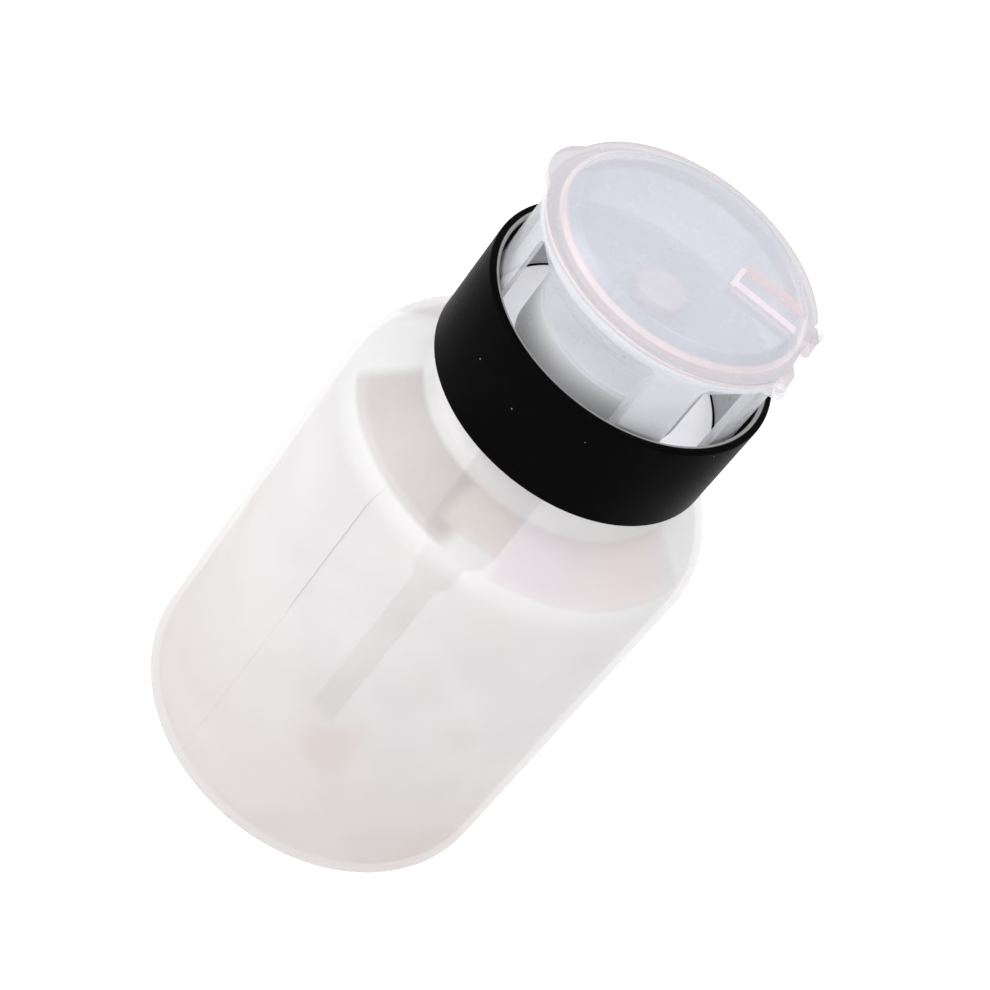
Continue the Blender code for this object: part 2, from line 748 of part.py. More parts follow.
def piston_seal():
    """Cup piston with a thin lip at each end and a groove between them."""
    top = PISTON_Z + PISTON_HEIGHT
    bore = PISTON_NECK + SEAT_GAP
    core = bore + PISTON_WALL
    lip = CHAMBER_BORE - SEAT_GAP
    waist = lip - LIP_THICKNESS
    profile = [
        (lip, top),
        (lip, top - LIP_DEPTH),
        (waist, top - LIP_DEPTH),
        (waist, PISTON_Z + LIP_DEPTH),
        (lip, PISTON_Z + LIP_DEPTH),
        (lip, PISTON_Z),
        (lip - LIP_THICKNESS, PISTON_Z),
        (core, PISTON_Z + LIP_DEPTH),
        (core, PISTON_Z),
        (bore, PISTON_Z),
        (bore, top),
        (core, top),
        (core, top - LIP_DEPTH),
        (lip - LIP_THICKNESS, top),
    ]
    return finish(turned("piston_seal", profile, SMALL_STEPS), piston_material())


def piston_material():
    return plastic("piston_plastic", (0.80, 0.80, 0.79), 0.5)


def plug_material():
    return plastic("plug_plastic", (0.76, 0.76, 0.75), 0.45)


def piston_plug():
    """Plug that carries the piston on its neck and ends in a shank inside the stem."""
    shank = STEM_BORE - SEAT_GAP
    shank_top = STEM_Z + PLUG_SHANK_LENGTH
    profile = [
        (0, shank_top),
        (shank, shank_top),
        (shank, STEM_Z - SEAT_GAP),
        (PISTON_NECK, STEM_Z - SEAT_GAP),
        (PISTON_NECK, PLUG_FLANGE_TOP_Z),
        (PLUG_FLANGE_RADIUS, PLUG_FLANGE_TOP_Z),
        (PLUG_FLANGE_RADIUS, PLUG_Z),
        (0, PLUG_Z),
    ]
    return finish(turned("piston_plug", profile, SMALL_STEPS, closed=False), plug_material())


def stem_material():
    return plastic("stem_plastic", (0.80, 0.80, 0.80), 0.4)


def upper_stem():
    """Hollow stem: two side ports over the piston and a cone seat for the outlet ball on top."""
    throat_z = STEM_TOP_Z - (STEM_MOUTH - STEM_BORE)
    profile = [
        (STEM_RADIUS, STEM_TOP_Z),
        (STEM_RADIUS, STEM_Z),
        (STEM_BORE, STEM_Z),
        (STEM_BORE, throat_z),
        (STEM_MOUTH, STEM_TOP_Z),
    ]
    stem = turned("upper_stem", profile, SMALL_STEPS)
    port_z = STEM_Z + PLUG_SHANK_LENGTH + STEM_RADIUS
    reach = STEM_RADIUS + OVERRUN
    cut(stem, rod("stem_port", STEM_PORT, (-reach, 0, port_z), (reach, 0, port_z), steps=PORT_STEPS))
    return finish(stem, stem_material())


def closure_material():
    return plastic("closure_plastic", (0.60, 0.62, 0.66), 0.4)


def screw_closure():
    """Closure with a round deck, a ledge that the black sleeve hangs on, and a wall down to the shoulder."""
    hole = SPIGOT_RADIUS + SEAT_GAP
    ledge = COLLAR_BORE - SEAT_GAP
    bottom_z = NECK_FOOT_Z - THREAD_ROOM * math.tan(math.radians(SHOULDER_SLOPE)) + SHOULDER_CLEARANCE
    profile = [
        (CLOSURE_RADIUS, DECK_TOP_Z, DECK_ROUND),
        (CLOSURE_RADIUS, LEDGE_TOP_Z),
        (ledge, LEDGE_TOP_Z),
        (ledge, LEDGE_Z),
        (CLOSURE_RADIUS, LEDGE_Z),
        (CLOSURE_RADIUS, bottom_z),
        (CLOSURE_BORE, bottom_z),
        (CLOSURE_BORE, DECK_Z),
        (hole, DECK_Z),
        (hole, DECK_TOP_Z),
    ]
    return finish(turned("screw_closure", profile, MEDIUM_STEPS), closure_material())


def turret_material():
    return plastic("hub_plastic", (0.72, 0.73, 0.75), 0.4)


def guide_turret():
    """Hub standing on the deck, its spigot through the deck's hole and its roof open for the boss."""
    inner = TURRET_RADIUS - TURRET_WALL
    roof_z = TURRET_TOP_Z - TURRET_WALL
    hole = BOSS_RADIUS + SLIDE_GAP
    profile = [
        (TURRET_RADIUS, TURRET_TOP_Z, TURRET_ROUND),
        (TURRET_RADIUS, TURRET_Z),
        (SPIGOT_RADIUS, TURRET_Z),
        (SPIGOT_RADIUS, DECK_Z),
        (SPIGOT_BORE, DECK_Z),
        (SPIGOT_BORE, TURRET_FLOOR_Z),
        (inner, TURRET_FLOOR_Z),
        (inner, roof_z),
        (hole, roof_z),
        (hole, TURRET_TOP_Z),
    ]
    return finish(turned("guide_turret", profile, MEDIUM_STEPS), turret_material())


def collar_material():
    return plastic("black_satin_plastic", (0.012, 0.012, 0.012), 0.42)


def collar_sleeve():
    """Open black tube with an inward lip at its foot that catches the closure's ledge."""
    lip = CLOSURE_RADIUS + SEAT_GAP
    lip_top = COLLAR_BOTTOM_Z + COLLAR_LIP
    profile = [
        (COLLAR_RADIUS, COLLAR_TOP_Z, COLLAR_ROUND),
        (COLLAR_RADIUS, COLLAR_BOTTOM_Z, COLLAR_ROUND),
        (lip, COLLAR_BOTTOM_Z),
        (lip, lip_top),
        (COLLAR_BORE, lip_top),
        (COLLAR_BORE, COLLAR_TOP_Z, COLLAR_ROUND),
    ]
    return finish(turned("collar_sleeve", profile, LARGE_STEPS), collar_material())


def dish_line(inset):
    """The dish's section from its floor to its rim, moved down and out by an inset."""
    line = [
        Vector((0, DISH_FLOOR_Z)),
        Vector((DISH_FLAT_RADIUS, DISH_FLOOR_Z)),
        Vector((DISH_BEND_RADIUS, DISH_BEND_Z)),
        Vector((DISH_RIM_RADIUS, HEAD_RIM_Z)),
    ]
    sides = [(b - a).normalized() for a, b in zip(line, line[1:])]
    normals = [Vector((side.y, -side.x)) for side in sides]
    moved = [line[0] + normals[0] * inset]
    for point, before, after in zip(line[1:], normals, normals[1:]):
        middle = (before + after).normalized()
        moved.append(point + middle * inset / middle.dot(after))
    moved.append(line[-1] + normals[-1] * inset)
    return moved


def height_on(line, radius):
    """Height of a section at a radius. Its last run goes on past its end."""
    for start, end in zip(line, line[1:]):
        if radius <= end.x:
            break
    return start.y + (end.y - start.y) * (radius - start.x) / (end.x - start.x)


def head_profile():
    """Dish, rim, skirt and boss in one section, from the rim's top down the outside and back inside."""
    socket = STEM_RADIUS + SEAT_GAP
    boss_bore = BOSS_RADIUS - BOSS_WALL
    bore_tube = socket + BOSS_WALL
    under = dish_line(DISH_WALL)
    tube_foot_z = BOSS_BOTTOM_Z + BOSS_WALL
    return [
        (HEAD_RIM_RADIUS, HEAD_RIM_TOP_Z, RIM_ROUND),
        (HEAD_RIM_RADIUS, HEAD_RIM_Z, RIM_ROUND),
        (SKIRT_RADIUS, HEAD_RIM_Z),
        (SKIRT_RADIUS, SKIRT_BOTTOM_Z),
        (SKIRT_BORE, SKIRT_BOTTOM_Z),
        (SKIRT_BORE, height_on(under, SKIRT_BORE)),
        (*under[2], DISH_BEND),
        (*under[1], DISH_BEND),
        (BOSS_RADIUS, under[0].y),
        (BOSS_RADIUS, BOSS_BOTTOM_Z),
        (boss_bore, BOSS_BOTTOM_Z),
        (boss_bore, SOCKET_SHOULDER_Z - BOSS_WALL),
        (bore_tube, SOCKET_SHOULDER_Z - BOSS_WALL),
        (bore_tube, tube_foot_z),
        (socket, tube_foot_z),
        (socket, SOCKET_SHOULDER_Z),
        (VALVE_BORE, SOCKET_SHOULDER_Z),
        (VALVE_BORE, VALVE_ROOF_Z),
        (NIPPLE_HOLE, VALVE_ROOF_Z),
        (NIPPLE_HOLE, NIPPLE_TOP_Z),
        (NIPPLE_RADIUS, NIPPLE_TOP_Z),
        (NIPPLE_RADIUS, DISH_FLOOR_Z),
        (DISH_FLAT_RADIUS, DISH_FLOOR_Z, DISH_BEND),
        (DISH_BEND_RADIUS, DISH_BEND_Z, DISH_BEND),
        (DISH_RIM_RADIUS, HEAD_RIM_Z),
        (DISH_RIM_RADIUS, HEAD_RIM_TOP_Z),
    ]


def window_shell():
    """Ring round the skirt's wall that stops a window's cut under the dish."""
    under = dish_line(DISH_WALL + SEAM)
    low = SKIRT_BORE - SKIRT_WALL / 2
    high = SKIRT_RADIUS + OVERRUN
    bottom = WINDOW_BOTTOM_Z - OVERRUN
    profile = [(high, height_on(under, high)), (high, bottom), (low, bottom), (low, height_on(under, low))]
    return turned("window_shell", profile, MEDIUM_STEPS, group=cutters)


def window_cutter(name, start, end, shell):
    """Window between two azimuths, drawn square on with round top corners and cut straight in."""
    middle = (start + end) / 2
    half = SKIRT_RADIUS * math.sin(math.radians(end - start) / 2)
    corners = [
        (-half, WINDOW_BOTTOM_Z),
        (half, WINDOW_BOTTOM_Z),
        (half, WINDOW_TOP_Z, WINDOW_ROUND),
        (-half, WINDOW_TOP_Z, WINDOW_ROUND),
    ]
    points = [tuple(point) for point in outline(corners, closed=True)]
    cutter = plate(name, points, -SKIRT_RADIUS - OVERRUN, 0)
    cutter.data.transform(Matrix.Rotation(math.radians(middle + 90), 4, "Z"))
    combine(cutter, shell, "INTERSECT")
    return cutter


def post_rib(side):
    """Rib down the inside of the post beside a wide window, from the dish to the skirt's ring."""
    low = SKIRT_BORE - POST_RIB_DEPTH
    high = SKIRT_BORE + SKIRT_WALL / 2
    half = POST_RIB_THICKNESS / 2
    middle = dish_line(DISH_WALL / 2)
    corners = [
        (low, WINDOW_BOTTOM_Z - SEAM),
        (high, WINDOW_BOTTOM_Z - SEAM),
        (high, height_on(middle, high)),
        (low, height_on(middle, low)),
    ]
    rib = plate(f"post_rib_{side:+d}", corners, -half, half)
    rib.data.transform(Matrix.Rotation(math.radians(side * POST_RIB_ANGLE), 4, "Z"))
    return rib


def hinge_lug(side):
    """Rounded lug outside a lid ear, carried by the skirt, with the hole for the ear's pin."""
    inner = EAR_FACE + SLIDE_GAP
    outer = inner + LUG_WIDTH
    low_y, high_y = sorted((side * inner, side * outer))
    foot_x = math.sqrt((SKIRT_RADIUS - SKIRT_WALL / 2) ** 2 - inner**2)
    foot_z = HINGE_Z - LUG_RADIUS - LUG_DRAFT
    web_top_z = HEAD_RIM_TOP_Z - SEAM
    top_angle = 180 - math.degrees(math.asin((web_top_z - HINGE_Z) / LUG_RADIUS))
    corners = [(foot_x, web_top_z)] + round_end(LUG_RADIUS, top_angle, -90, ARC_STEPS) + [(foot_x, foot_z)]
    lug = plate(f"hinge_lug_{side:+d}", corners, low_y, high_y)
    start = (HINGE_X, side * (inner - SEAM), HINGE_Z)
    end = (HINGE_X, side * (outer + OVERRUN), HINGE_Z)
    hole = rod(f"hinge_hole_{side:+d}", PIN_RADIUS + SEAT_GAP, start, end, steps=PIN_STEPS)
    return lug, hole


def hinge_notches():
    """Room for the two lid ears in the head's rim, and the flat between them."""
    ear_room = EAR_RADIUS + SEAT_GAP
    far_x = HEAD_RIM_RADIUS + OVERRUN
    top_z = HEAD_RIM_TOP_Z + OVERRUN
    inner = EAR_FACE - EAR_WIDTH - SEAT_GAP
    outer = EAR_FACE + SEAT_GAP
    flat = inner + SEAM
    notches = [
        block(
            "hinge_flat",
            (HINGE_X - HEAD_FLAT_INSET, -flat, HINGE_Z - EAR_RADIUS),
            (far_x, flat, top_z),
        )
    ]
    for side in (-1, 1):
        low_y, high_y = sorted((side * inner, side * outer))
        low = (HINGE_X - ear_room, low_y, HINGE_Z - ear_room)
        notches.append(block(f"ear_notch_{side:+d}", low, (far_x, high_y, top_z)))
    return notches


def head_material():
    return plastic("head_plastic", (0.76, 0.77, 0.79), 0.35)


def press_head():
    head = turned("press_head", head_profile(), LARGE_STEPS)
    shell = window_shell()
    for side in (-1, 1):
        for label, (start, end) in (("wide", WIDE_WINDOW), ("narrow", NARROW_WINDOW)):
            angles = sorted((side * start, side * end))
            cut(head, window_cutter(f"{label}_window_{side:+d}", *angles, shell))
        join(head, post_rib(side))
    cut(head, *hinge_notches())
    for side in (-1, 1):
        lug, hole = hinge_lug(side)
        join(head, lug)
        cut(head, hole)
    return finish(head, head_material(), (0, 0, SKIRT_BOTTOM_Z))


def cap_material():
    return plastic("button_plastic", (0.80, 0.74, 0.75), 0.4)


def nozzle_cap():
    """Button over the nipple, slotted round its foot so that liquid spreads into the dish."""
    inner = NIPPLE_RADIUS + SEAT_GAP
    profile = [
        (0, CAP_TOP_Z),
        (CAP_RADIUS, CAP_TOP_Z, CAP_ROUND),
        (CAP_RADIUS, CAP_Z),
        (inner, CAP_Z),
        (inner, CAP_ROOF_Z),
        (0, CAP_ROOF_Z),
    ]
    cap = turned("nozzle_cap", profile, SMALL_STEPS, closed=False)
    half = CAP_SLOT_WIDTH / 2
    for i in range(CAP_SLOTS // 2):
        slot = block(
            f"cap_slot_{i}",
            (-CAP_RADIUS - OVERRUN, -half, CAP_Z - OVERRUN),
            (CAP_RADIUS + OVERRUN, half, CAP_Z + CAP_SLOT_DEPTH),
        )
        slot.data.transform(Matrix.Rotation(math.radians(360 * i / CAP_SLOTS + CAP_SLOT_TURN), 4, "Z"))
        cut(cap, slot)
    return finish(cap, cap_material(), (0, 0, CAP_Z))


def lid_profile():
    """Section of the lid: raised centre with sloped sides, flat flange and a short centring ring."""
    under_z = PLATEAU_TOP_Z - LID_THICKNESS
    ring_bore = LID_RING_RADIUS - LID_RING_WALL
    side = math.hypot(PLATEAU_SLOPE_RUN, PLATEAU_RISE)
    inner_foot = PLATEAU_FOOT_RADIUS - LID_THICKNESS * PLATEAU_RISE / side
    inner_foot_z = LID_TOP_Z - LID_THICKNESS * PLATEAU_SLOPE_RUN / side
    steepness = PLATEAU_RISE / PLATEAU_SLOPE_RUN
    return [
        (0, PLATEAU_TOP_Z),
        (PLATEAU_RADIUS, PLATEAU_TOP_Z, PLATEAU_ROUND),
        (PLATEAU_FOOT_RADIUS, LID_TOP_Z, PLATEAU_ROUND / 2),
        (LID_RADIUS, LID_TOP_Z, RIM_ROUND),
        (LID_RADIUS, LID_Z, RIM_ROUND),
        (LID_RING_RADIUS, LID_Z),
        (LID_RING_RADIUS, LID_Z - LID_RING_DEPTH),
        (ring_bore, LID_Z - LID_RING_DEPTH),
        (ring_bore, inner_foot_z + (inner_foot - ring_bore) * steepness),
        (inner_foot - (under_z - inner_foot_z) / steepness, under_z, PLATEAU_ROUND),
        (0, under_z),
    ]


def lid_ear(side):
    """Arm sloping from the flange down to the hinge axis, round about it, with a stub pin on its outer side."""
    low_y, high_y = sorted((side * (EAR_FACE - EAR_WIDTH), side * EAR_FACE))
    name = f"lid_ear_{side:+d}"
    top_z = LID_TOP_Z - SEAM
    arm_z = LID_Z + SEAM
    root_x = HINGE_X - EAR_ROOT
    arm_top = [(root_x, arm_z), (root_x, top_z), (HINGE_X - EAR_TOP_INSET, top_z)]
    end = round_end(EAR_RADIUS, EAR_SLOPE_ANGLE, -180, ARC_STEPS)
    arm = plate(name, arm_top + end + [(HINGE_X - EAR_RADIUS, arm_z)], low_y, high_y)
    pin_start = (HINGE_X, side * (EAR_FACE - PIN_ENGAGE), HINGE_Z)
    pin_end = (HINGE_X, side * (EAR_FACE + PIN_ENGAGE), HINGE_Z)
    pin = rod(f"{name}_pin", PIN_RADIUS, pin_start, pin_end, steps=PIN_STEPS)
    return arm, pin


def lid_edge_cuts():
    """Straight edge at the hinge, stepped back further beside each ear to pass the head's lugs."""
    far_x = LID_RADIUS + OVERRUN
    reach = EAR_FACE + SLIDE_GAP + LUG_WIDTH + SLIDE_GAP
    low_z = LID_Z - OVERRUN
    high_z = LID_TOP_Z + OVERRUN
    cuts = [block("hinge_edge", (HINGE_X - LID_FLAT_INSET, -reach, low_z), (far_x, reach, high_z))]
    for side in (-1, 1):
        low_y, high_y = sorted((side * (EAR_FACE - SEAM), side * reach))
        low = (HINGE_X - LUG_RADIUS, low_y, low_z)
        cuts.append(block(f"lug_relief_{side:+d}", low, (far_x, high_y, high_z)))
    return cuts


def channel_outline():
    """Plan of the sunken channel: square at its inner end, flared with round corners at the lid's edge."""
    near_y = CHANNEL_OFFSET - CHANNEL_WIDTH / 2
    far_y = CHANNEL_OFFSET + CHANNEL_WIDTH / 2
    bend_x = PLATEAU_RADIUS
    end_x = LID_RADIUS + OVERRUN
    spread = CHANNEL_FLARE * (end_x - bend_x) / (LID_RADIUS - bend_x)
    return [
        (CHANNEL_START_X, near_y),
        (bend_x, near_y, CHANNEL_ROUND),
        (end_x, near_y - spread),
        (end_x, far_y + spread),
        (bend_x, far_y, CHANNEL_ROUND),
        (CHANNEL_START_X, far_y),
    ]


def channel_tray():
    """Block under the channel that keeps a floor and walls round it, ended inside the lid's ring."""
    half = CHANNEL_WIDTH / 2 + CHANNEL_WALL
    low_z = LID_TOP_Z + SEAM - CHANNEL_FLOOR
    high_z = PLATEAU_TOP_Z - LID_THICKNESS / 2
    tray = block(
        "channel_tray",
        (CHANNEL_START_X - CHANNEL_WALL, CHANNEL_OFFSET - half, low_z),
        (LID_RADIUS, CHANNEL_OFFSET + half, high_z),
    )
    disc_radius = LID_RING_RADIUS - LID_RING_WALL / 2
    disc = rod("tray_disc", disc_radius, (0, 0, low_z - OVERRUN), (0, 0, high_z + OVERRUN), steps=LARGE_STEPS)
    combine(tray, disc, "INTERSECT")
    return tray


def lid_material():
    return plastic("translucent_lid_plastic", (0.62, 0.63, 0.70), 0.25, alpha=0.55)


def flip_lid():
    lid = turned("flip_lid", lid_profile(), LARGE_STEPS, closed=False)
    tab_x = -LID_RADIUS - TAB_REACH + TAB_RADIUS
    tab = rod("thumb_tab", TAB_RADIUS, (tab_x, 0, LID_Z), (tab_x, 0, LID_TOP_Z), steps=MEDIUM_STEPS)
    channel = slab("channel_cut", outline(channel_outline(), closed=True), LID_TOP_Z + SEAM, PLATEAU_TOP_Z + OVERRUN)
    join(lid, tab, channel_tray())
    cut(lid, channel, *lid_edge_cuts())
    for side in (-1, 1):
        join(lid, *lid_ear(side))
    return finish(lid, lid_material(), HINGE)


def empty(name, place):
    made = bpy.data.objects.new(name, None)
    made.location = place
    parts.objects.link(made)
    return made


def carry(parent, *children):
    """Parent pieces to what carries them and leave them where they are."""
    bpy.context.view_layer.update()
    for child in children:
        child.parent = parent
        child.matrix_parent_inverse = parent.matrix_world.inverted()


def build():
    standing = bottle()
    ring = neck_gasket()
    pump = [pump_housing(), housing_chaplet(), stem_wiper(), ball_cage(), return_spring(), dip_tube()]
    closure = [screw_closure(), guide_turret(), collar_sleeve()]
    inlet = ball("inlet_ball", INLET_BALL_RADIUS, INLET_BALL_Z, ball_material("inlet_ball_steel"))
    seal = piston_seal()
    stem = [upper_stem(), piston_plug(), press_head(), nozzle_cap()]
    outlet = ball("outlet_ball", OUTLET_BALL_RADIUS, OUTLET_BALL_Z, ball_material("outlet_ball_steel"))
    lid = flip_lid()
    lift = empty("lift_off", (0, 0, NECK_TOP_Z))
    rise = empty("thread_rise", (0, 0, FLANGE_Z))
    turn = empty("closure_turn", (0, 0, DECK_Z))
    press = empty("head_press", (0, 0, SKIRT_BOTTOM_Z))
    hinge = empty("lid_hinge", HINGE)
    carry(standing, lift)
    carry(lift, ring, rise)
    carry(rise, turn, press, inlet, *pump)
    carry(turn, *closure)
    carry(press, seal, outlet, hinge, *stem)
    carry(hinge, lid)


clear_scene()
parts = collection("nail_polish_remover_pump")
cutters = collection("cutters")
build()
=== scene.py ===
# %% [markdown]
# # A press pump for nail polish remover
#
# A milky bottle carries a pump. A pad of cotton is held on the dish at the top and pushed down, and
# a few drops well up through the button. A see-through lid closes the dish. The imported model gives
# every place and every joint, so each cell below only has to give one piece its fine shape or its
# finish.

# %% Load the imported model
import math

import bmesh
import bpy
from mathutils import Matrix, Vector


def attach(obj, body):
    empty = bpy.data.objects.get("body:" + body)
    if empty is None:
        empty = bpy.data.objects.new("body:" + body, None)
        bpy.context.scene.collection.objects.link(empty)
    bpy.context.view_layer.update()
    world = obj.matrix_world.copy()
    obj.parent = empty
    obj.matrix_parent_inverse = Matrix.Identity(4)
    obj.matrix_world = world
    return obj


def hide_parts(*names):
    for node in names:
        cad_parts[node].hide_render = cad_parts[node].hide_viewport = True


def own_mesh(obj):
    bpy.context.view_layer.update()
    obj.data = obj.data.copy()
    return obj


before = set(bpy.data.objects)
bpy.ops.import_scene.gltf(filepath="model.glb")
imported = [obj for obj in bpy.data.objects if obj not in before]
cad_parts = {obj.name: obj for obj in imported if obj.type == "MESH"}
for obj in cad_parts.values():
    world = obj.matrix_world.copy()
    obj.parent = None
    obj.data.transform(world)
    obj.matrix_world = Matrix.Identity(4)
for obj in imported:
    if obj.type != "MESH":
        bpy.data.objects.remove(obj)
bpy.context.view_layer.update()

# %% [markdown]
# ## The camera
#
# The picture was taken from above, 42 degrees over the horizon, with the camera rolled so that the
# bottle leans. A rolled camera is easiest to build from three directions: forward, right and up.
# The lens is long, as for any picture of a small product, so that near and far parts keep their
# proportions.

# %% Camera
CAMERA_PLACE = Vector((0, -0.32056, 0.34437))
CAMERA_TILT = math.radians(41.577)
CAMERA_ROLL = math.radians(38.89)
CAMERA_YAW = math.radians(-0.014)
CAMERA_PITCH = math.radians(0.261)


def camera_axes():
    """Directions of the picture's right, top and back."""
    forward = Vector((0, math.cos(CAMERA_TILT), -math.sin(CAMERA_TILT)))
    right = Vector((1, 0, 0))
    up = right.cross(forward)
    turned_forward = forward * math.cos(CAMERA_YAW) + right * math.sin(CAMERA_YAW)
    right = right * math.cos(CAMERA_YAW) - forward * math.sin(CAMERA_YAW)
    forward = turned_forward * math.cos(CAMERA_PITCH) + up * math.sin(CAMERA_PITCH)
    up = up * math.cos(CAMERA_PITCH) - turned_forward * math.sin(CAMERA_PITCH)
    picture_right = right * math.cos(CAMERA_ROLL) + up * math.sin(CAMERA_ROLL)
    picture_top = up * math.cos(CAMERA_ROLL) - right * math.sin(CAMERA_ROLL)
    return picture_right, picture_top, -forward


camera_data = bpy.data.cameras.new("camera")
camera_data.lens = 102.5
camera_data.sensor_width = 36
camera_data.clip_start = 0.01
camera = bpy.data.objects.new("camera", camera_data)
bpy.context.scene.collection.objects.link(camera)
camera.matrix_world = Matrix.Translation(CAMERA_PLACE) @ Matrix(camera_axes()).transposed().to_4x4()
bpy.context.scene.camera = camera
print("camera looks along", [round(value, 3) for value in -camera_axes()[2]])

# %% [markdown]
# ## Colours and nodes
#
# Colours are picked as screen colours, in sRGB, and shaders want linear light, so one function
# turns the first into the second. A second function adds a node, sets it and links it, which keeps
# each finish short enough to read as a recipe. The same nodes could be placed by hand in the shader
# editor, but here they can be read, and changed for all pieces at once.

# %% Linear colours
MM = 0.001


def linear(colour):
    """Linear RGBA of an sRGB hex colour such as "E8E4E6"."""
    shares = [int(colour[i : i + 2], 16) / 255 for i in (0, 2, 4)]
    return (*[v / 12.92 if v <= 0.04045 else ((v + 0.055) / 1.055) ** 2.4 for v in shares], 1)


print("mid grey in linear light:", round(linear("808080")[0], 3))


# %% Nodes
def add_node(tree, kind, sockets=None, **fields):
    """Add a shader node. A socket takes a value, a node (its first output) or (node, output)."""
    made = tree.nodes.new(f"ShaderNode{kind}")
    for field, value in fields.items():
        setattr(made, field, value)
    for socket, value in (sockets or {}).items():
        if isinstance(value, bpy.types.Node):
            value = (value, 0)
        if isinstance(value, tuple) and isinstance(value[0], bpy.types.Node):
            source, output = value
            tree.links.new(source.outputs[output], made.inputs[socket])
        else:
            made.inputs[socket].default_value = value
    return made


def start_finish(name, **sockets):
    """A new material and its Principled shader, with the shader's own sockets set."""
    material = bpy.data.materials.new(name)
    material.use_nodes = True
    tree = material.node_tree
    shader = tree.nodes["Principled BSDF"]
    for socket, value in sockets.items():
        shader.inputs[socket.replace("_", " ")].default_value = value
    return material, tree, shader


# %% [markdown]
# ## The floor, the world and the lamps
#
# The set is a white table in soft light. More light would also make the table white, but it would
# bleach the object. So the table glows a little, only for the camera, mirrors and clear plastic,
# and its painted part still takes the object's shadow. The world does the same: white where it is
# seen, a little dimmer where it only lights. Light Path tells the two kinds of ray apart.

# %% Light that is only seen
def seen_level(tree, lit, seen):
    """One value for plain light, and another for what the eye sees, directly or through plastic."""
    path = add_node(tree, "LightPath")
    kinds = [(path, "Is Camera Ray"), (path, "Is Glossy Ray"), (path, "Is Transmission Ray")]
    direct = add_node(tree, "Math", {0: kinds[0], 1: kinds[1]}, operation="MAXIMUM")
    share = add_node(tree, "Math", {0: direct, 1: kinds[2]}, operation="MAXIMUM")
    return add_node(tree, "MapRange", {"Value": share, "To Min": lit, "To Max": seen})


# %% Floor
FLOOR_RADIUS = 1.6
FLOOR_GLOW = 0.62
FLOOR_DROP = 0.1 * MM


def table_paint():
    """White matt table paint. The eye sees a white ground with only the object's soft shadow."""
    material, tree, shader = start_finish(
        "white_table_paint", Base_Color=linear("C4C4C4"), Roughness=0.9, Specular_IOR_Level=0.0
    )
    glow = add_node(
        tree, "Emission", {"Color": linear("FFFFFF"), "Strength": seen_level(tree, 0.0, FLOOR_GLOW)}
    )
    both = add_node(tree, "AddShader", {0: shader, 1: glow})
    tree.links.new(both.outputs[0], tree.nodes["Material Output"].inputs["Surface"])
    return material


floor_mesh = bpy.data.meshes.new("table_top")
floor_shape = bmesh.new()
bmesh.ops.create_circle(floor_shape, cap_ends=True, segments=64, radius=FLOOR_RADIUS)
floor_shape.to_mesh(floor_mesh)
floor_shape.free()
floor_mesh.materials.append(table_paint())
floor = bpy.data.objects.new("table_top", floor_mesh)
floor.location.z = -FLOOR_DROP
bpy.context.scene.collection.objects.link(floor)
print("table is", 2 * FLOOR_RADIUS, "m across")

# %% World
WORLD_LEVEL = 0.9

world = bpy.data.worlds.new("studio_white")
world.use_nodes = True
bpy.context.scene.world = world
sky = world.node_tree.nodes["Background"]
sky.inputs["Color"].default_value = linear("FFFFFF")
sky_level = seen_level(world.node_tree, WORLD_LEVEL, 1.0)
world.node_tree.links.new(sky_level.outputs[0], sky.inputs["Strength"])
print("world lights at", WORLD_LEVEL)

# %% Lamps
LAMP_AIM = Vector((0, 0, 0.07))
LAMPS = {
    "window_lamp": ((-0.75, -0.25, 0.65), 0.60, 3.0),
    "front_fill": ((-0.05, -0.95, 0.40), 0.70, 3.0),
    "top_lamp": ((0.10, 0.15, 0.95), 0.60, 2.4),
}
SEE_THROUGH_LAYERS = 32


def lamp(name, place, width, power):
    """A round soft lamp, width in metres and power in watts, that faces the object."""
    data = bpy.data.lights.new(name, "AREA")
    data.shape = "DISK"
    data.size = width
    data.energy = power
    made = bpy.data.objects.new(name, data)
    bpy.context.scene.collection.objects.link(made)
    made.location = place
    made.rotation_euler = (LAMP_AIM - Vector(place)).to_track_quat("-Z", "Y").to_euler()


for lamp_name, (lamp_place, lamp_width, lamp_power) in LAMPS.items():
    lamp(lamp_name, lamp_place, lamp_width, lamp_power)
bpy.context.scene.view_settings.view_transform = "Standard"
# A ray meets up to two faces in each wall of the lid, the head, the hub and the bottle on its way
# through, and one that runs out of layers turns black.
bpy.context.scene.cycles.transparent_max_bounces = SEE_THROUGH_LAYERS
print("lamps:", ", ".join(LAMPS))

# %% [markdown]
# ## Turned shapes
#
# Most pieces of a pump are round, because their moulds are turned on a lathe. A stack of cylinders
# would give the size but not the fillets, and a sculpted mesh would not be round. So they are drawn
# as half a section, in millimetres from the bottle's axis and foot, with a fillet where the mould
# has one, and the Screw modifier turns the section round. A section on the axis stays open at its
# ends, and a ring's is closed.

# %% Sections with fillets
FILLET_STEP = math.radians(9)


def fillet(before, corner, after, radius):
    """Points of the arc that rounds one corner of a section."""
    to_before = before - corner
    to_after = after - corner
    angle = to_before.angle(to_after)
    reach = min(radius / math.tan(angle / 2), to_before.length / 2, to_after.length / 2)
    middle = (to_before.normalized() + to_after.normalized()).normalized()
    centre = corner + middle * reach * math.tan(angle / 2) / math.sin(angle / 2)
    start = corner + to_before.normalized() * reach - centre
    end = corner + to_after.normalized() * reach - centre
    turn = start.angle_signed(end)
    steps = max(2, round(abs(turn) / FILLET_STEP))
    return [centre + Matrix.Rotation(-turn * i / steps, 2) @ start for i in range(steps + 1)]


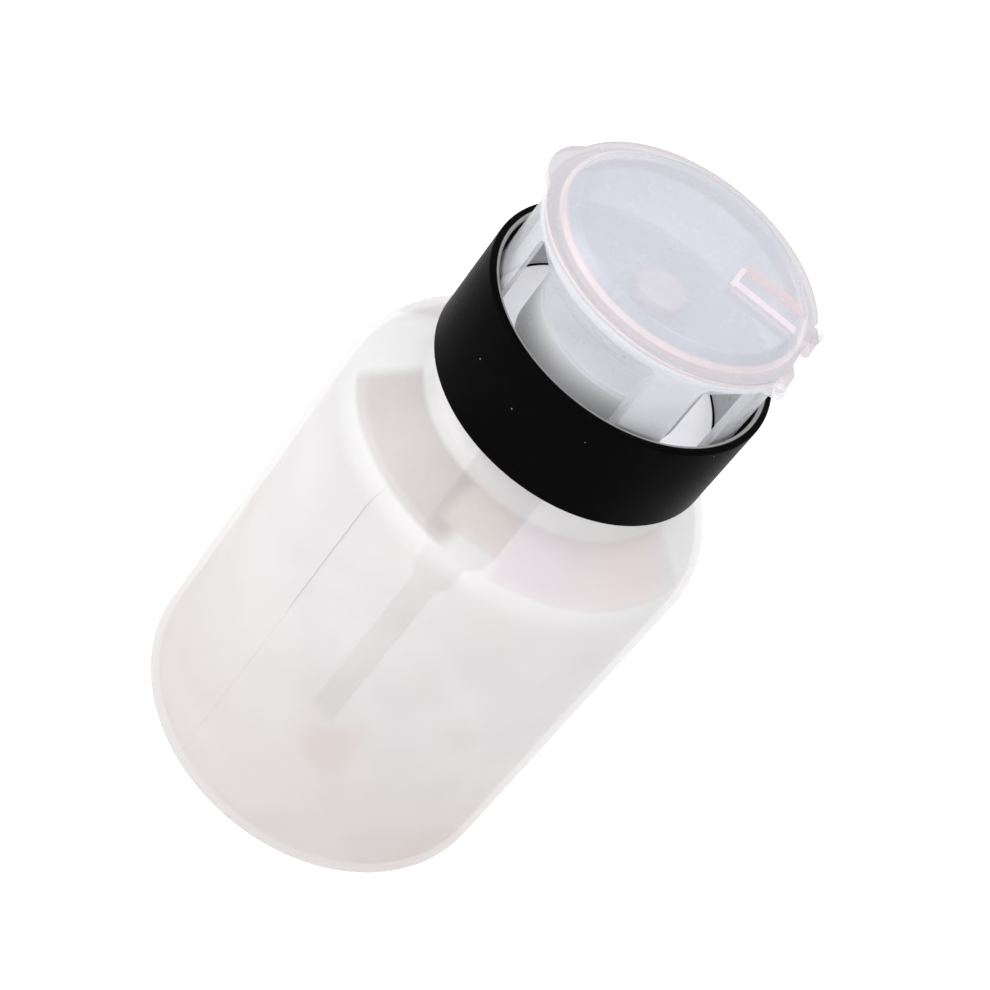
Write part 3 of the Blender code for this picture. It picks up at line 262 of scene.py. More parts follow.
def section(corners, closed):
    """Points in metres from corners (x, z) or (x, z, fillet) in millimetres."""
    places = [Vector(corner[:2]) * MM for corner in corners]
    points = []
    for i, corner in enumerate(corners):
        inner = closed or 0 < i < len(corners) - 1
        if len(corner) == 3 and inner:
            after = places[(i + 1) % len(places)]
            points += fillet(places[i - 1], places[i], after, corner[2] * MM)
        else:
            points.append(places[i])
    return points


print("a quarter round fillet has", round(math.pi / 2 / FILLET_STEP), "steps")

# %% Turning
FINE_TURN = 160
WELD = 0.004 * MM


def show(name, mesh):
    """Put a mesh or a curve in the scene."""
    made = bpy.data.objects.new(name, mesh)
    bpy.context.scene.collection.objects.link(made)
    return made


def turned(name, corners, closed=True, steps=FINE_TURN):
    """Turn half a section round the bottle's axis."""
    points = section(corners, closed)
    edges = [(i, i + 1) for i in range(len(points) - 1)]
    if closed:
        edges.append((len(points) - 1, 0))
    mesh = bpy.data.meshes.new(name)
    mesh.from_pydata([(point.x, 0, point.y) for point in points], edges, [])
    made = show(name, mesh)
    screw = made.modifiers.new("turn", "SCREW")
    screw.axis = "Z"
    screw.steps = steps
    screw.render_steps = steps
    screw.use_merge_vertices = True
    screw.merge_threshold = WELD
    return made


print("a full turn has", FINE_TURN, "steps")


# %% Settling and dressing
def settle(piece):
    """Apply the piece's modifiers, and point all its faces outwards."""
    bpy.context.view_layer.update()
    graph = bpy.context.evaluated_depsgraph_get()
    mesh = bpy.data.meshes.new_from_object(piece.evaluated_get(graph))
    shape = bmesh.new()
    shape.from_mesh(mesh)
    bmesh.ops.dissolve_degenerate(shape, edges=shape.edges, dist=WELD / 4)
    bmesh.ops.recalc_face_normals(shape, faces=shape.faces)
    shape.to_mesh(mesh)
    shape.free()
    piece.modifiers.clear()
    piece.data = mesh
    mesh.name = piece.name
    return piece


def dress(piece, finish, body, node, sharp=30):
    """Shade a piece, and say which body it rides on, which node it stands for.

    Edges that turn by more than sharp degrees stay crisp.
    """
    settle(piece)
    piece.data.shade_smooth()
    piece.data.set_sharp_from_angle(angle=math.radians(sharp))
    piece.data.materials.clear()
    piece.data.materials.append(finish)
    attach(piece, body)
    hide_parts(node)
    print(piece.name, len(piece.data.polygons), "faces")
    return piece


# %% [markdown]
# ## Cut and joined shapes
#
# Windows, notches and hinge arms break the round. They could be modelled face by face in the turned
# mesh, which would have to be done again after each change. Instead they are flat outlines given a
# thickness, and Boolean modifiers cut them out or join them on, as a slide in the mould would. The
# manifold solver keeps every result closed.

# %% Plates and cutters
SCRAP = []


def plate(name, corners, low, high):
    """A flat outline (x, y) in millimetres with a thickness from low to high along Z."""
    points = section(corners, closed=True)
    mesh = bpy.data.meshes.new(name)
    shape = bmesh.new()
    face = shape.faces.new([shape.verts.new((point.x, point.y, low * MM)) for point in points])
    grown = bmesh.ops.extrude_face_region(shape, geom=[face])["geom"]
    tops = [item for item in grown if isinstance(item, bmesh.types.BMVert)]
    bmesh.ops.translate(shape, vec=(0, 0, (high - low) * MM), verts=tops)
    bmesh.ops.recalc_face_normals(shape, faces=shape.faces)
    shape.to_mesh(mesh)
    shape.free()
    made = show(name, mesh)
    SCRAP.append(made)
    return made


def upright(name, corners, low, high):
    """A flat outline (x, z) in millimetres with a thickness from low to high along Y."""
    made = plate(name, corners, -high, -low)
    made.data.transform(Matrix.Rotation(math.radians(90), 4, "X"))
    return made


def combine(target, operation, *tools):
    """Cut the tools out of a piece, join them on, or keep only what they share with it."""
    for tool in tools:
        change = target.modifiers.new(operation.lower(), "BOOLEAN")
        change.operation = operation
        change.solver = "MANIFOLD"
        change.object = tool


def clear_scrap():
    """Take away the tools of a piece once it has been settled."""
    while SCRAP:
        bpy.data.objects.remove(SCRAP.pop(), do_unlink=True)


# %% [markdown]
# ## Finishes of milky plastic
#
# All the pale pieces are natural polyethylene or polypropylene: no dye, so light goes in, scatters
# and comes out again. Their finishes share four things, each written once below: faint clouds from
# the flow of the melt, a fine grain from the mould's surface, zones with soft edges, and haze. Full
# subsurface scattering would be truer but is slow and grainy in walls that are 1 mm thick. So haze
# is a partial transparency, which hides what is behind a wall and lets most of the light through.

# %% Clouds and grain of moulded plastic
CLOUD_LOW = 0.3
CLOUD_HIGH = 0.7


def flow_clouds(tree, low, high, size_mm, detail=1.5):
    """Two close shades of one plastic, in the soft clouds that its flow leaves."""
    place = add_node(tree, "TexCoord")
    noise = {"Vector": (place, "Object"), "Scale": 1 / (size_mm * MM), "Detail": detail}
    clouds = add_node(tree, "TexNoise", noise)
    share = add_node(
        tree, "MapRange", {"Value": (clouds, "Fac"), "From Min": CLOUD_LOW, "From Max": CLOUD_HIGH}
    )
    shades = {"Factor": share, "A": linear(low), "B": linear(high)}
    return add_node(tree, "Mix", shades, data_type="RGBA")


def tool_grain(tree, shader, size_mm, detail, rough, height_mm=0, strength=0.5):
    """Gloss and fine relief from the mould's surface.

    A real grain is 0.02 to 0.1 mm, too fine to show, so each is drawn as coarse as it needs to
    show.
    """
    place = add_node(tree, "TexCoord")
    noise = {"Vector": (place, "Object"), "Scale": 1 / (size_mm * MM), "Detail": detail}
    grain = add_node(tree, "TexNoise", noise)
    levels = {"From Min": CLOUD_LOW, "From Max": CLOUD_HIGH, "To Min": rough[0], "To Max": rough[1]}
    level = add_node(tree, "MapRange", {"Value": (grain, "Fac"), **levels})
    tree.links.new(level.outputs[0], shader.inputs["Roughness"])
    if height_mm:
        relief = {"Height": (grain, "Fac"), "Distance": height_mm * MM, "Strength": strength}
        tree.links.new(add_node(tree, "Bump", relief).outputs["Normal"], shader.inputs["Normal"])


print("clouds use the noise between", CLOUD_LOW, "and", CLOUD_HIGH)


# %% Zones with soft edges
def round_place(tree):
    """Where a point is on a round piece: x, y and z, distance from the axis, and direction."""
    place = add_node(tree, "TexCoord")
    parts = add_node(tree, "SeparateXYZ", {"Vector": (place, "Object")})
    level = add_node(tree, "VectorMath", {0: (place, "Object"), 1: (1, 1, 0)}, operation="MULTIPLY")
    radius = add_node(tree, "VectorMath", {0: level}, operation="LENGTH")
    angle = add_node(tree, "Math", {0: (parts, "Y"), 1: (parts, "X")}, operation="ARCTAN2")
    return parts, (radius, "Value"), angle


def zone(tree, *edges):
    """1 inside and 0 outside. Each edge is (source, start, end) and rises from start to end."""
    share = None
    for source, start, end in edges:
        step = {"Value": source, "From Min": start, "From Max": end}
        edge = add_node(tree, "MapRange", step, interpolation_type="SMOOTHSTEP")
        share = add_node(tree, "Math", {0: share, 1: edge}, operation="MULTIPLY") if share else edge
    return share


def between(source, low, high, soft):
    """The two edges of a zone from low to high."""
    return (source, low - soft, low + soft), (source, high + soft, high - soft)


def in_metres(values):
    """Millimetres to metres."""
    return [value * MM for value in values]


def laid_over(tree, colour, layers):
    """Lay the colour of each zone over what is below."""
    for share, layer_colour in layers:
        shades = {"Factor": share, "A": (colour, "Result"), "B": linear(layer_colour)}
        colour = add_node(tree, "Mix", shades, data_type="RGBA")
    return colour


print("a zone from 2 to 5 with edges of 1:", between("height", 2, 5, 1))


# %% Haze
def haze(tree, shader, seen, shade, thick_share=None, thick=None):
    """How much a milky wall hides from the eye, and how much of the light it holds back.

    Such plastic passes on most of the light that it scatters, so it blurs what is behind it much
    more than it shades it. Where thick_share is 1, the wall hides as much as thick says.
    """
    level = seen_level(tree, shade, seen)
    if thick_share:
        hidden = add_node(tree, "MapRange", {"Value": thick_share, "To Min": seen, "To Max": thick})
        tree.links.new(hidden.outputs[0], level.inputs["To Max"])
    tree.links.new(level.outputs[0], shader.inputs["Alpha"])


# %% [markdown]
# ## The bottle
#
# The bottle is blow-moulded in low-density polyethylene: a hot tube of plastic is caught between
# two mould halves and blown up like a balloon. So its wall is even, every corner is round, and a
# fine ridge runs up each side where the halves met. The section is turned, and the ridges are laid
# on as very flat strips. The plastic looks warmer low down. Its darker patches on the shoulder are
# painted shade, one warmer patch among them is a painted reflection, and the band under the sleeve
# is painted light that lifts the sleeve's shadow. The finish has a zone for each.

# %% Finish of the bottle
POLYETHYLENE_IOR = 1.51  # typical of LDPE
LOOK_HEIGHTS = {  # in mm over the foot: where each look sets in, and where it is full
    "warm foot": (42, 12),
    "blotches": (52, 36),
    "shoulder": (70.5, 73.0),
    # The neck zone is painted light that lifts the shadow of the sleeve.
    "neck": (80.6, 81.4),
}
BLOTCH_MM = 19
BLOTCH_EDGE = (0.5, 0.75)
SEAM_ANGLES = (-115.5, 64.5)
SEAM_HALF_ANGLE = 0.2
SEAM_HEIGHTS = (45, 72.5)
CONE_TOP = 80.85
# Painted shade on the shoulder's cone; the fourth lobe, warmer, is a painted reflection.
CONE_PAINTED_LIGHT_LOBES = [  # from and to in degrees, softness in degrees, lowest height in mm, colour
    (-156, -93, 3, 74.5, "C3BDBC"),
    (-99, -74, 3, 76.5, "D9D2D0"),
    (-77, -7, 3, 74.5, "DAD2D7"),
    (-46, -16, 12, 75.0, "E0D3D2"),
    (30, 170, 3, 74.5, "C8C4C4"),
]


def milky_polyethylene():
    """Natural LDPE, blown in a blasted steel mould: milky, softly glossy, faintly see-through."""
    material, tree, shader = start_finish("milky_polyethylene", IOR=POLYETHYLENE_IOR)
    parts, _, angle = round_place(tree)
    height = (parts, "Z")
    look = {name: (height, *in_metres(heights)) for name, heights in LOOK_HEIGHTS.items()}
    place = add_node(tree, "TexCoord")
    noise = {"Vector": (place, "Object"), "Scale": 1 / (BLOTCH_MM * MM), "Detail": 1.0}
    blotches = (add_node(tree, "TexNoise", noise), "Fac")
    layers = [
        (zone(tree, look["warm foot"]), "E0DADA"),
        (zone(tree, (blotches, *BLOTCH_EDGE), look["blotches"]), "DCD1CE"),
        (zone(tree, look["shoulder"]), "E4E3E4"),
    ]
    # Painted shade and one painted reflection, laid on the shoulder's cone.
    for start, end, soft, low, painted_colour in CONE_PAINTED_LIGHT_LOBES:
        round_it = between(angle, math.radians(start), math.radians(end), math.radians(soft))
        up_it = between(height, low * MM, CONE_TOP * MM, soft=0.4 * MM)
        layers.append((zone(tree, *round_it, *up_it), painted_colour))
    for seam_angle in SEAM_ANGLES:
        start = math.radians(seam_angle - SEAM_HALF_ANGLE)
        end = math.radians(seam_angle + SEAM_HALF_ANGLE)
        round_it = between(angle, start, end, soft=math.radians(SEAM_HALF_ANGLE / 2))
        up_it = between(height, *in_metres(SEAM_HEIGHTS), soft=3 * MM)
        layers.append((zone(tree, *round_it, *up_it), "BAB6B6"))
    # Painted light on the neck, where the sleeve casts its shadow.
    layers.append((zone(tree, look["neck"]), "EFEEEF"))
    colour = laid_over(tree, flow_clouds(tree, "DEDCDD", "E8E6E7", size_mm=16), layers)
    tree.links.new(colour.outputs["Result"], shader.inputs["Base Color"])
    tool_grain(tree, shader, size_mm=0.9, detail=2, rough=(0.32, 0.42), height_mm=0.01)
    haze(tree, shader, seen=0.5, shade=0.3)
    print(material.name, "has", len(layers), "zones")
    return material


# %% [markdown]
# The neck and the closure hold each other by a screw thread. A thread is a small ridge that climbs
# round a cylinder, so a short section is carried along a helix, and fades out at both ends as on a
# moulded one. The Screw modifier could wind it too, but not fade its ends. Both threads have the
# pitch of the joint, so the closure follows them as it turns.

# %% Screw threads
PITCH = 3.667
THREAD_STEPS_A_TURN = 72
THREAD_TIP_HALF_WIDTH = 0.3
THREAD_LEAST = 0.06
THREAD_RUN_OUT = 8


def thread(name, inner, tip, low, start, turns, half_width=0.75):
    """A right-handed ridge round the axis, in millimetres, which fades out at both ends."""
    steps = round(THREAD_STEPS_A_TURN * turns)
    points = []
    faces = []
    for i in range(steps + 1):
        share = i / steps
        angle = math.radians(start) + 2 * math.pi * turns * share
        rise = low + PITCH * turns * share
        fade = max(THREAD_LEAST, min(1, THREAD_RUN_OUT * share, THREAD_RUN_OUT * (1 - share)))
        reach = inner + (tip - inner) * fade
        corners = (
            (inner, -half_width),
            (inner, half_width),
            (reach, THREAD_TIP_HALF_WIDTH),
            (reach, -THREAD_TIP_HALF_WIDTH),
        )
        for radius, up in corners:
            across = radius * MM
            points.append((across * math.cos(angle), across * math.sin(angle), (rise + up) * MM))
        if i:
            now, last = 4 * i, 4 * i - 4
            for k in range(4):
                after = (k + 1) % 4
                faces.append((last + k, last + after, now + after, now + k))
    faces += [(0, 1, 2, 3), tuple(4 * steps + k for k in (3, 2, 1, 0))]
    mesh = bpy.data.meshes.new(name)
    mesh.from_pydata(points, [], faces)
    shape = bmesh.new()
    shape.from_mesh(mesh)
    bmesh.ops.recalc_face_normals(shape, faces=shape.faces)
    shape.to_mesh(mesh)
    shape.free()
    made = show(name, mesh)
    SCRAP.append(made)
    print(name, "climbs", round(PITCH * turns, 2), "mm")
    return made


# %% Bottle
SEAM_RIDGE = [(30.6, 4.5), (31.06, 4.9), (31.06, 70.4), (30.6, 71.0)]
SEAM_HALF_WIDTH = 0.12

bottle = turned(
    "bottle_shell",
    [
        (0, 2.4),
        (23.3, 2.4, 0.8),
        (24.5, 1.2, 0.8),
        (29.8, 1.2, 3.1),
        (29.8, 72.817, 5.8),
        (14.2, 85.005, 0.4),
        (14.2, 89.5, 0.4),
        (15.9, 89.5, 0.4),
        (15.9, 85.2, 3.5),
        (31.0, 73.403, 7.0),
        (31.0, 0, 4.3),
        (24.5, 0, 0.4),
        (23.3, 1.2, 0.4),
        (0, 1.2),
    ],
    closed=False,
)
for seam_angle in SEAM_ANGLES:
    seam = upright("seam", SEAM_RIDGE, -SEAM_HALF_WIDTH, SEAM_HALF_WIDTH)
    seam.data.transform(Matrix.Rotation(math.radians(seam_angle), 4, "Z"))
    combine(bottle, "UNION", seam)
neck_thread = thread("neck_thread", inner=15.6, tip=16.7, low=86.0, start=0, turns=0.75)
combine(bottle, "UNION", neck_thread)
dress(bottle, milky_polyethylene(), "bottle", "bottle")
clear_scrap()

# %% [markdown]
# ## The screw closure, the hub and the black sleeve
#
# The closure screws on the bottle's neck. The black sleeve hangs on its ledge and hides it, so that
# from outside only its deck shows, deep in the gap round the head. The hub stands on the deck and
# guides the head. All three are round, so each is one turned section. One recipe serves every small
# natural piece: each gives its two shades, its gloss, and how much light its walls hold back.

# %% Finish of the closure, the hub and other natural pieces
POLYPROPYLENE_IOR = 1.49  # typical of PP
LIT_WALL_BLEND_MM = 0.6


def natural_plastic(name, low, high, roughness, cloud_mm=6.0, shade=0.5, wall=None):
    """Natural PP or PE, injection moulded: greyish and waxy, with faint clouds and a fine grain.

    wall gives a height in mm and the colour below it, painted light for a wall in shade.
    """
    material, tree, shader = start_finish(name, IOR=POLYPROPYLENE_IOR)
    colour = flow_clouds(tree, low, high, cloud_mm)
    # Painted light: below the height, the wall takes a lighter colour.
    if wall:
        top, lit_wall_colour = wall
        parts, _, _ = round_place(tree)
        lit_wall_share = zone(tree, ((parts, "Z"), top * MM, (top - LIT_WALL_BLEND_MM) * MM))
        colour = laid_over(tree, colour, [(lit_wall_share, lit_wall_colour)])
    tree.links.new(colour.outputs["Result"], shader.inputs["Base Color"])
    rough = (roughness - 0.04, roughness + 0.05)
    tool_grain(tree, shader, size_mm=0.5, detail=2, rough=rough, height_mm=0.004)
    haze(tree, shader, seen=1.0, shade=shade)
    return material


# %% Closure
closure = turned(
    "closure_body",
    [
        (19.3, 94.0, 0.25),
        (19.3, 89.0, 0.2),
        (21.26, 89.0, 0.2),
        (21.26, 88.2, 0.2),
        (18.9, 88.2),
        (18.9, 84.606, 0.2),
        (17.3, 84.606),
        (17.3, 92.6),
        (11.8, 92.6),
        (11.8, 94.0, 0.15),
    ],
)
inner_thread = thread("closure_thread", inner=17.6, tip=16.5, low=85.9, start=170, turns=0.85)
combine(closure, "UNION", inner_thread)
deck_finish = natural_plastic("closure_polypropylene", "F0F1F7", "F8F8FC", 0.34, shade=0.05)
dress(closure, deck_finish, "closure", "screw_closure")
clear_scrap()

# %% Hub
hub = turned(
    "guide_hub",
    [
        (14.0, 103.0, 0.8),
        (14.0, 94.3, 0.15),
        (11.5, 94.3),
        (11.5, 92.6),
        (10.2, 92.6),
        (10.2, 95.6),
        (12.7, 95.6),
        (12.7, 101.7),
        (6.6, 101.7, 0.15),
        (6.6, 103.0, 0.3),
    ],
)
# The hub's side wall stands in shade and is painted near white; its top is a darker copy of the same
# plastic.
hub_finish = natural_plastic(
    "hub_polypropylene", "B6B7BE", "BDBEC4", 0.3, shade=0.05, wall=(102.8, "F6F7FA")
)
dress(hub, hub_finish, "closure", "guide_turret")

# %% [markdown]
# The sleeve is black polypropylene from a finely blasted mould. It is satin: it shows wide soft
# bands of light and no sharp mirror image. Handling leaves a few specks of dust on it. The inner
# edge of its rim is painted grey, a painted highlight where the rounded edge catches the light.
# The specks are the middles of a few cells of a Voronoi pattern, which scatters them without a list
# of places.

# %% Finish of the sleeve
SATIN_SPECULAR = 0.009  # matched: so deep a black shows hardly any gloss
DUST_GAP_MM = 2.6
DUST_SIZE = (0.035, 0.07)  # full and gone, as shares of the gap
DUST_CHOICE = (0.74, 0.76)  # only cells whose lot is above this have a speck
# Painted highlight on the inner edge of the rim's top.
RIM_HIGHLIGHT_HEIGHTS = (103.85, 104.1)
RIM_HIGHLIGHT_RADII = (22.2, 22.0)


def black_satin():
    """Black PP, injection moulded in a blasted tool: near black, satin, with a few dust specks."""
    material, tree, shader = start_finish(
        "black_satin_polypropylene", IOR=POLYPROPYLENE_IOR, Specular_IOR_Level=SATIN_SPECULAR
    )
    place = add_node(tree, "TexCoord")
    cells = {"Vector": (place, "Object"), "Scale": 1 / (DUST_GAP_MM * MM), "Randomness": 1.0}
    dots = add_node(tree, "TexVoronoi", cells)
    size = {"From Min": DUST_SIZE[0], "From Max": DUST_SIZE[1], "To Min": 1.0, "To Max": 0.0}
    near = add_node(tree, "MapRange", {"Value": (dots, "Distance"), **size})
    lot = add_node(tree, "SeparateColor", {"Color": (dots, "Color")})
    choice = {"Value": (lot, "Red"), "From Min": DUST_CHOICE[0], "From Max": DUST_CHOICE[1]}
    chosen = add_node(tree, "MapRange", choice)
    speck = add_node(tree, "Math", {0: near, 1: chosen}, operation="MULTIPLY")
    parts, radius, _ = round_place(tree)
    # The grey on the rim is a painted highlight; the specks are dust.
    rim = ((parts, "Z"), *in_metres(RIM_HIGHLIGHT_HEIGHTS))
    rim_highlight = zone(tree, rim, (radius, *in_metres(RIM_HIGHLIGHT_RADII)))
    black = flow_clouds(tree, "050505", "080808", size_mm=9, detail=2)
    colour = laid_over(tree, black, [(rim_highlight, "8C8889"), (speck, "9A9694")])
    tree.links.new(colour.outputs["Result"], shader.inputs["Base Color"])
    tool_grain(tree, shader, 0.35, detail=3, rough=(0.34, 0.46), height_mm=0.012, strength=0.7)
    return material


# %% Sleeve
sleeve = turned(
    "black_sleeve",
    [
        (23.13, 104.35, 0.45),
        (23.13, 86.9, 0.45),
        (19.2, 86.9, 0.2),
        (19.2, 87.9, 0.2),
        (21.56, 87.9),
        (21.56, 104.35, 0.45),
    ],
)
dress(sleeve, black_satin(), "closure", "collar_sleeve")

# %% [markdown]
# ## The press head
#
# Dish, rim, skirt and centre tube are one moulding. Its section is turned first. Then four windows
# are cut in the skirt, two ribs stand behind the posts between them, and at the hinge the rim is
# notched and gets a lug on each side. The dish's underside follows its top at an even distance, as
# a mould designer would draw it, so it is worked out and not typed in.

# %% Section of the head
DISH_LINE = [(0, 109.7), (10.5, 109.7), (16.8, 111.4), (19.9, 116.1)]
DISH_WALL_MM = 1.2


def moved_line(line, inset):
    """The dish's section, moved down and out by a wall thickness."""
    points = [Vector(point) for point in line]
    sides = [(b - a).normalized() for a, b in zip(points, points[1:])]
    normals = [Vector((side.y, -side.x)) for side in sides]
    moved = [points[0] + normals[0] * inset]
    for point, before, after in zip(points[1:], normals, normals[1:]):
        middle = (before + after).normalized()
        moved.append(point + middle * inset / middle.dot(after))
    return moved + [points[-1] + normals[-1] * inset]


def height_on(line, radius):
    """Height of a section at a radius."""
    for start, end in zip(line, line[1:]):
        if radius <= end[0]:
            break
    return start[1] + (end[1] - start[1]) * (radius - start[0]) / (end[0] - start[0])


under_dish = moved_line(DISH_LINE, DISH_WALL_MM)
head_section = [
    (21.9, 117.1, 0.4),
    (21.9, 116.1, 0.4),
    (21.0, 116.1, 0.2),
    (21.0, 93.8, 0.25),
    (19.6, 93.8, 0.25),
    (19.6, height_on(under_dish, 19.6)),
    (*under_dish[2], 6.0),
    (*under_dish[1], 6.0),
    (6.2, under_dish[0].y, 0.3),
    (6.2, 101.5, 0.3),
    (5.1, 101.5),
    (5.1, 105.4),
    (4.0, 105.4),
    (4.0, 102.6),
    (2.9, 102.6),
    (2.9, 106.5),
    (1.9, 106.5),
    (1.9, 109.346),
    (0.9, 109.346),
    (0.9, 110.546),
    (2.9, 110.546, 0.2),
    (2.9, 109.7),
    (10.5, 109.7, 6.0),
    (16.8, 111.4, 6.0),
    (19.9, 116.1, 0.3),
    (19.9, 117.1, 0.25),
]
print("underside of the dish, mm:", [[round(value, 2) for value in point] for point in under_dish])

# %% Measures of the hinge
HINGE_X = 21.1
HINGE_Z = 116.5
EAR_Y = (3.1, 7.0)
EAR_RADIUS = 0.8
LUG_Y = (7.4, 8.5)
LUG_RADIUS = 1.05
LUG_TOP = 117.0
LUG_FOOT_RADIUS = 20.3
LUG_HOLE_RADIUS = 0.75
PIN_RADIUS = 0.45
print("play of a pin in its lug, mm:", round(LUG_HOLE_RADIUS - PIN_RADIUS, 2))


def arc(radius, start, end, steps=10):
    """Points round the hinge axis, angles from +X towards +Z."""
    points = []
    for i in range(steps + 1):
        angle = math.radians(start + (end - start) * i / steps)
        points.append((HINGE_X + radius * math.cos(angle), HINGE_Z + radius * math.sin(angle)))
    return points


# %% Windows, ribs and lugs of the head
SKIRT_RADIUS = 21.0
WINDOW_FOOT = 100.0
WINDOW_TOP = 115.6
WINDOW_FILLET = 2.0
WINDOW_REACH = 23.0
RIB_IN = 17.2
RIB_OUT = 20.3
RIB_HALF_WIDTH = 0.65


def window_tool(name, start, end, shell):
    """Window between two angles round the skirt, its top corners round."""
    half = SKIRT_RADIUS * math.sin(math.radians(end - start) / 2)
    foot = [(-half, WINDOW_FOOT), (half, WINDOW_FOOT)]
    top = [(half, WINDOW_TOP, WINDOW_FILLET), (-half, WINDOW_TOP, WINDOW_FILLET)]
    tool = upright(name, foot + top, -WINDOW_REACH, 0)
    tool.data.transform(Matrix.Rotation(math.radians((start + end) / 2 + 90), 4, "Z"))
    combine(tool, "INTERSECT", shell)
    return tool


def rib_tool(angle):
    """Rib behind a post, from the dish down to the skirt's ring."""
    middle = moved_line(DISH_LINE, DISH_WALL_MM / 2)
    foot = [(RIB_IN, WINDOW_FOOT - 0.1), (RIB_OUT, WINDOW_FOOT - 0.1)]
    top = [(RIB_OUT, height_on(middle, RIB_OUT)), (RIB_IN, height_on(middle, RIB_IN))]
    tool = upright(f"rib_{angle:+.0f}", foot + top, -RIB_HALF_WIDTH, RIB_HALF_WIDTH)
    tool.data.transform(Matrix.Rotation(math.radians(angle), 4, "Z"))
    return tool


def lug_tool(side):
    """Round lug outside an ear, with the hole for the ear's pin."""
    low, high = sorted((side * LUG_Y[0], side * LUG_Y[1]))
    foot_x = math.sqrt(LUG_FOOT_RADIUS**2 - LUG_Y[0] ** 2)
    top_angle = 180 - math.degrees(math.asin((LUG_TOP - HINGE_Z) / LUG_RADIUS))
    foot = (foot_x, HINGE_Z - LUG_RADIUS - 0.4)
    corners = [(foot_x, LUG_TOP), *arc(LUG_RADIUS, top_angle, -90, 14), foot]
    lug = upright(f"lug_{side:+d}", corners, low, high)
    low, high = sorted((side * (LUG_Y[0] - 0.1), side * (LUG_Y[1] + 2)))
    hole = upright(f"lug_hole_{side:+d}", arc(LUG_HOLE_RADIUS, 0, 345, 23), low, high)
    return lug, hole


def box_tool(name, low, high):
    """A box between two corners in millimetres."""
    corners = [(low[0], low[1]), (high[0], low[1]), (high[0], high[1]), (low[0], high[1])]
    return plate(name, corners, low[2], high[2])


# %% [markdown]
# The head is thin natural polypropylene, cleared a little, so it looks frosty and shows what is
# behind it. Its finish hides about half, and holds back almost no light, because the deck and the
# hub behind it are lit as brightly as in the open.

# %% Finish of the head
def frosty_polypropylene():
    """Natural PP, thin and injection moulded: frosty, with light passing through its thin walls."""
    material, tree, shader = start_finish("frosty_polypropylene", IOR=POLYPROPYLENE_IOR)
    colour = flow_clouds(tree, "CFD0D6", "D6D7DC", size_mm=8)
    tree.links.new(colour.outputs["Result"], shader.inputs["Base Color"])
    tool_grain(tree, shader, size_mm=2.5, detail=1, rough=(0.27, 0.31))
    haze(tree, shader, seen=0.55, shade=0.03)
    return material


# %% [markdown]
# A plain box as a window's cutter would cut the dish as well, because the dish hangs down inside
# the skirt. So each cutter is first trimmed to a shell that follows the skirt outside the dish.

# %% Head
WINDOWS = {"wide": (71.0, 144.3), "narrow": (26.7, 52.0)}
RIB_ANGLE = 69.3
SHELL_IN = 18.9
SHELL_OUT = 23.0
SHELL_FOOT = 98.0

head = turned("press_head_moulding", head_section)
shell_line = moved_line(DISH_LINE, DISH_WALL_MM + 0.1)
shell = turned(
    "window_shell",
    [
        (SHELL_OUT, height_on(shell_line, SHELL_OUT)),
        (SHELL_OUT, SHELL_FOOT),
        (SHELL_IN, SHELL_FOOT),
        (SHELL_IN, height_on(shell_line, SHELL_IN)),
    ],
)
SCRAP.append(shell)
for side in (-1, 1):
    for window_name, (start, end) in WINDOWS.items():
        low, high = sorted((side * start, side * end))
        combine(head, "DIFFERENCE", window_tool(f"{window_name}_{side:+d}", low, high, shell))
    combine(head, "UNION", rib_tool(side * RIB_ANGLE))
combine(head, "DIFFERENCE", box_tool("hinge_flat", (20.7, -2.9, 115.7), (25.0, 2.9, 119.0)))
for side in (-1, 1):
    low, high = sorted((side * (EAR_Y[0] - 0.3), side * (EAR_Y[1] + 0.3)))
    notch = box_tool(f"notch_{side:+d}", (20.0, low, 115.4), (25.0, high, 119.0))
    combine(head, "DIFFERENCE", notch)
for side in (-1, 1):
    lug, hole = lug_tool(side)
    combine(head, "UNION", lug)
    combine(head, "DIFFERENCE", hole)
dress(head, frosty_polypropylene(), "head", "press_head")
clear_scrap()

# %% [markdown]
# ## The button
#
# The button sits over the nipple in the middle of the dish. Six slots round its foot let the drops
# out. Three thin boxes through the axis cut all six, two by two. It shows through the lid as a
# paler, pinkish round.

# %% Button
BUTTON_TOP = 112.396
BUTTON_FOOT = 110.0
BUTTON_WALL_MM = 1.1
SLOT_HALF_WIDTH = 0.4
SLOT_TOP = 110.9
SLOT_TURN = 15

button = turned(
    "slotted_button",
    [
        (0, BUTTON_TOP),
        (3.95, BUTTON_TOP, 0.5),
        (3.95, BUTTON_FOOT, 0.1),
        (3.2, BUTTON_FOOT),
        (3.2, BUTTON_TOP - BUTTON_WALL_MM),
        (0, BUTTON_TOP - BUTTON_WALL_MM),
    ],
    closed=False,
    steps=96,
)
for i in range(3):
    slot_low, slot_high = (-5.0, -SLOT_HALF_WIDTH, 108.0), (5.0, SLOT_HALF_WIDTH, SLOT_TOP)
    slot_tool = box_tool(f"button_slot_{i}", slot_low, slot_high)
    slot_tool.data.transform(Matrix.Rotation(math.radians(60 * i + SLOT_TURN), 4, "Z"))
    combine(button, "DIFFERENCE", slot_tool)
button_finish = natural_plastic("button_polypropylene", "DBCACD", "E4D5D7", 0.3, cloud_mm=3.0)
dress(button, button_finish, "head", "nozzle_cap")
clear_scrap()

